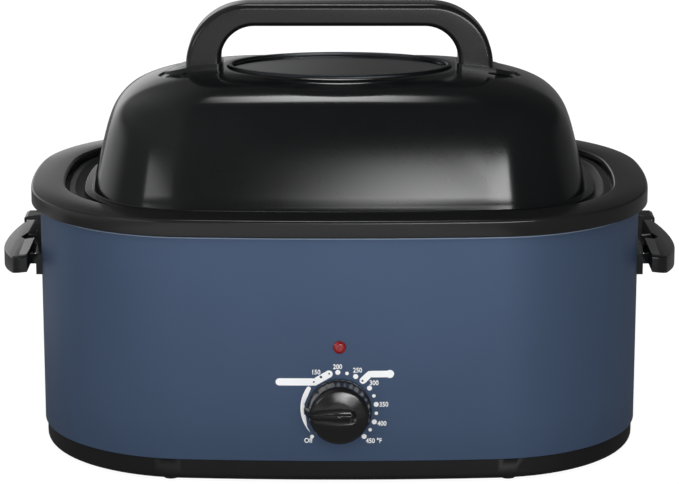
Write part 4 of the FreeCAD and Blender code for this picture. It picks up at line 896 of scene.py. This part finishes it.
def pressed(x, y):
    """How deep the sheet is pressed: low steps along the window, and a dimple round each nose."""
    size = math.hypot(x / (window_a + trim_width), y / (window_b + trim_width))
    away = math.hypot(x, y) * (1 - 1 / size) if size > 1 else 0
    ends = max(0.0, 1 - (x / steps_half_length) ** 2)
    steps = step_depth * eased(away, *first_step) + step_depth * eased(away, *second_step)
    steps *= 1 - eased(away, *steps_fade)
    nose = math.hypot((abs(x) - leg_outside) / (pad_tip - leg_outside), y / pad_half)
    gap = (nose - 1) * pad_half * 0.8
    dimple = dimple_depth * (1 - eased(gap, *dimple_slope)) * eased(abs(x), *dimple_start)
    return steps * ends + dimple


def oval_at(ring, a, b, z):
    """Points of an ellipse, one in the direction of each point of a ring."""
    scale_x = max(p[0] for p in ring)
    scale_y = max(p[1] for p in ring)
    turns = [math.atan2(y / scale_y, x / scale_x) for x, y, _ in ring]
    return [(a * math.cos(t), b * math.sin(t), z) for t in turns]


# offsets from the body's outline: the brim, the wall where it leaves the brim and where the dome
# takes over, and the skirt's two faces
brim_edge, wall_foot, dome_start, skirt_outside, skirt_inside = -41, -48.35, -49.2, -53.5, -55
brim_top, dome_low, skirt_low = brim_bottom + lid_sheet, brim_bottom + 5, brim_bottom - 7
brim_line = rounded(
    (skirt_outside, skirt_low, 0), (skirt_outside, brim_bottom, 1.0), (brim_edge, brim_bottom, 0.5),
    (brim_edge, brim_top, 0.9), (wall_foot, brim_top, 1.1), (dome_start, dome_low, 0), closed=False)
brim = [oval_ring(body_outline, x, z) for x, z in brim_line]
outside = [ring for ring in dome_rings(0) if ring[0][2] > dome_low]
hole_margin = 2.8                             # the hole is wider than the window's oval by this
hole_edge = [oval_at(outside[-1], window_a + hole_margin, window_b + hole_margin, z)
             for z in (crown_top, crown_top - lid_sheet)]
inside = dome_rings(lid_sheet)[:0:-1]
skirt = [oval_ring(body_outline, skirt_inside, z) for z in (brim_top, skirt_low)]
points, faces = joined_rings(brim + outside + hole_edge + inside + skirt)
lid = piece_from("lid_dome", points, faces, lid_enamel.material, 40)
work = bmesh.new()
work.from_mesh(lid.data)
low_crown = (crown_top - 30) / 1000           # in metres: the sheet is pressed only above this
nose_from, nose_to, nose_side = 0.128, 0.178, 0.03  # and cut finer here, for the dimples


def near_nose(vert):
    x, y, z = vert.co
    return nose_from < abs(x) < nose_to and abs(y - middle / 1000) < nose_side and z > low_crown


fine = [edge for edge in work.edges if all(near_nose(vert) for vert in edge.verts)]
bmesh.ops.subdivide_edges(work, edges=fine, cuts=2, use_grid_fill=True)
for vert in work.verts:
    if vert.co.z > low_crown:
        vert.co.z -= pressed(vert.co.x * 1000, vert.co.y * 1000 - middle) / 1000
work.to_mesh(lid.data)
work.free()
settle(lid, "lid_shell")

# ==== Lid window ==========================================================================
# A flat oval of toughened glass in a silicone channel, framed by a dark steel trim ring with
# bevelled edges. A zinc-plated ring under the sheet holds the channel up.

trim = plated("trim_ring", (58, 61, 64), 0.3)
trim_line = rounded((0.2, 0.0, 0), (0.2, 1.5, 0.4), (1.2, 2.0, 0.5), (4.2, 1.9, 0.9),
                    (trim_width, 0.6, 0.4), (trim_width, 0, 0))
oval_steps = 160
oval_turns = [2 * math.pi * i / oval_steps for i in range(oval_steps)]
points, faces = joined_rings([
    [((window_a + x) * math.cos(t), (window_b + x) * math.sin(t), crown_top + z) for t in oval_turns]
    for x, z in trim_line])
settle(piece_from("window_trim_ring", points, faces, trim), "window_bezel")
silicone = moulded("silicone_channel", (38, 38, 40), 0.6, 0.8, 0.02)
dress("window_gasket", silicone)
coat(zinc, "window_retainer")

glass = Finish("window_glass", IOR=1.2, Transmission_Weight=1.0)
breath = glass.noise(48, 4, 0.6)
glass.vary("Base Color", glass.mix(breath, shade((176, 178, 178)), shade((160, 163, 163))))
glass.vary("Roughness", 0.02 + breath * 0.03)
dress("window_glass", glass.material)

# ==== Lid handle ==========================================================================
# An arched loop moulded in black phenolic. Each foot stands on a heat pad that follows the
# crown and runs out to a thin nose; a screw and a washer under the sheet draw it down.

loop_plastic = moulded("loop_plastic", (19, 19, 20), 0.2, 0.6, 0.003, 1.36)
dress("lid_handle", loop_plastic, 26)
pad_plastic = moulded("pad_plastic", (20, 21, 22), 0.16, 0.8, 0.003, 1.3)
dress("handle_pads", pad_plastic, 26)
coat(zinc, "handle_washers")
coat(zinc, "handle_screws")

# ==== Floor, lamps and camera =============================================================
# A plain pale studio: a white floor that keeps the oven's shadow, and an even sky that lights
# it. Soft lamps at the front, the right, the left, low down and above show only as highlights.
# The viewer stands a little above the lid.

floor_mesh = bpy.data.meshes.new("studio_floor")
floor_mesh.from_pydata([(-9, -7, 0), (9, -7, 0), (9, 11, 0), (-9, 11, 0)], [], [(0, 1, 2, 3)])
floor = in_scene("studio_floor", floor_mesh)
paper = bpy.data.materials.new("studio_paper")
paper.use_nodes = True
nodes = Nodes(paper.node_tree)
nodes.tree.nodes.clear()


def rays(nodes):
    """1 for rays straight to the camera, and 1 for those mirrored or through glass."""
    direct, glossy, through = (nodes.add("ShaderNodeLightPath", None, None, kind) for kind in (
        "Is Camera Ray", "Is Glossy Ray", "Is Transmission Ray"))
    return direct, nodes.math("MAXIMUM", glossy, through)


cover = nodes.add("ShaderNodeBsdfDiffuse", None, {"Color": (0.8, 0.8, 0.8, 1)})
place = nodes.add("ShaderNodeTexCoord", None, None, "Object")
x, y = nodes.part(place, 0), nodes.part(place, 1)
# the parts of the floor that the oven's gloss mirrors brightly: before it, far to the left, and a
# fainter strip close by on the left
before = rise(nodes, x, -1.2, -0.8) * (1 - rise(nodes, x, 0.2, 0.5)) * (1 - rise(nodes, y, -0.95, -0.25))
beside = 1 - rise(nodes, x, -1.7, -1.2)
strip = rise(nodes, y, -0.02, 0.12) * (1 - rise(nodes, y, 0.3, 0.6)) * (1 - rise(nodes, x, -0.55, -0.4))
mirrored = 0.17 + 1.1 * before + 0.8 * nodes.math("MAXIMUM", beside, strip * 0.45)
direct, indirect = rays(nodes)
bright = nodes.add("ShaderNodeEmission", None, {
    "Color": (1, 1, 1, 1), "Strength": direct * 1.18 + indirect * mirrored})
mixed = nodes.add("ShaderNodeMixShader", None, {0: direct * 0.8 + indirect, 1: cover, 2: bright})
nodes.add("ShaderNodeOutputMaterial", None, {"Surface": mixed})
floor_mesh.materials.append(paper)

world = bpy.data.worlds.new("studio_world")
bpy.context.scene.world = world
world.use_nodes = True
nodes = Nodes(world.node_tree)
nodes.tree.nodes.clear()
toward = nodes.add("ShaderNodeTexCoord", None, None, "Generated")
right, back, up = (nodes.part(toward, axis) for axis in range(3))
front, left = 0 - back, 0 - right
# gloss mirrors a dim room, paler in front, a grey wall at the left and a white one low at the back
backdrop = rise(nodes, back, 0.0, 0.45) * (1 - rise(nodes, up, 0.1, 0.3))
backdrop = backdrop * (1 - rise(nodes, right, -0.1, 0.02) * 0.85)
side_wall = (0.25 + 0.2 * rise(nodes, up, 0.15, 0.5)) * rise(nodes, left, 0.02, 0.5)
mirrored = 0.05 + 0.05 * rise(nodes, front, -0.3, 0.4) + side_wall + 0.9 * backdrop
# even light on the surfaces, stronger from the front and weaker from the right
even = (0.4 + 1.75 * rise(nodes, front, 0.2, 0.95)) * (1.04 - 0.34 * rise(nodes, right, -0.1, 0.9))
direct, indirect = rays(nodes)
strength = direct + indirect * mirrored + (1 - direct - indirect) * even
sky = nodes.add("ShaderNodeBackground", None, {"Color": (1, 1, 1, 1), "Strength": strength})
nodes.add("ShaderNodeOutputWorld", None, {"Surface": sky})


def softbox(name, place, target, size, radiance, fade=None):
    """A soft lamp that faces a point; fade makes its light fall off across it."""
    lamp = bpy.data.lights.new(name, "AREA")
    lamp.shape = "RECTANGLE"
    lamp.size, lamp.size_y = size
    lamp.energy = radiance * math.pi * size[0] * size[1]
    if fade:
        lamp.use_nodes = True
        glow = Nodes(lamp.node_tree)
        glow.tree.nodes.clear()
        face = glow.add("ShaderNodeNewGeometry", None, None, "Parametric")
        light = glow.add("ShaderNodeEmission", None, {
            "Strength": fade(glow, glow.part(face, 0), glow.part(face, 1))})
        glow.add("ShaderNodeOutputLight", None, {"Surface": light})
    holder = in_scene(name, lamp)
    holder.location = place
    holder.visible_diffuse = False
    holder.rotation_euler = (Vector(target) - Vector(place)).to_track_quat("-Z", "Y").to_euler()


def front_fade(glow, u, v):
    """Stronger to the right, and with a soft upper edge that climbs to the right."""
    return rise(glow, v - u * 0.45, 0.47, 0.27) * u ** 0.5


def ends_fade(glow, u, v):
    """Strongest in the middle, gone at both ends."""
    return u * (1 - u) * 4


# each lamp's place, the point it faces, its size and its brightness
softbox("front_lamp", (0.11, -2.70, 0.89), (0.11, 0, 0.89), (1.08, 0.54), 26, front_fade)
softbox("right_lamp", (1.10, -2.51, 0.92), (0.17, -0.13, 0.92), (0.94, 0.46), 21)
softbox("left_lamp", (-1.92, -1.91, 0.80), (-0.17, -0.13, 0.8), (1.48, 0.36), 5)
softbox("low_lamp", (0.62, -2.5, 0.36), (0, -0.2, 0.07), (0.9, 0.34), 5)
softbox("top_lamp", (-0.06, 0.56, 2.4), (-0.06, 0.4, 0.3), (0.74, 0.62), 13.5, ends_fade)

look_down = 0.244                             # radians below the level
camera = in_scene("viewer", bpy.data.cameras.new("viewer"))
camera.location = (0, -2.539, 0.810)
camera.rotation_euler = (math.pi / 2 - look_down, 0, 0)
camera.data.lens = 148.67
camera.data.sensor_width = 36
bpy.context.scene.camera = camera
bpy.context.scene.view_settings.view_transform = "Standard"
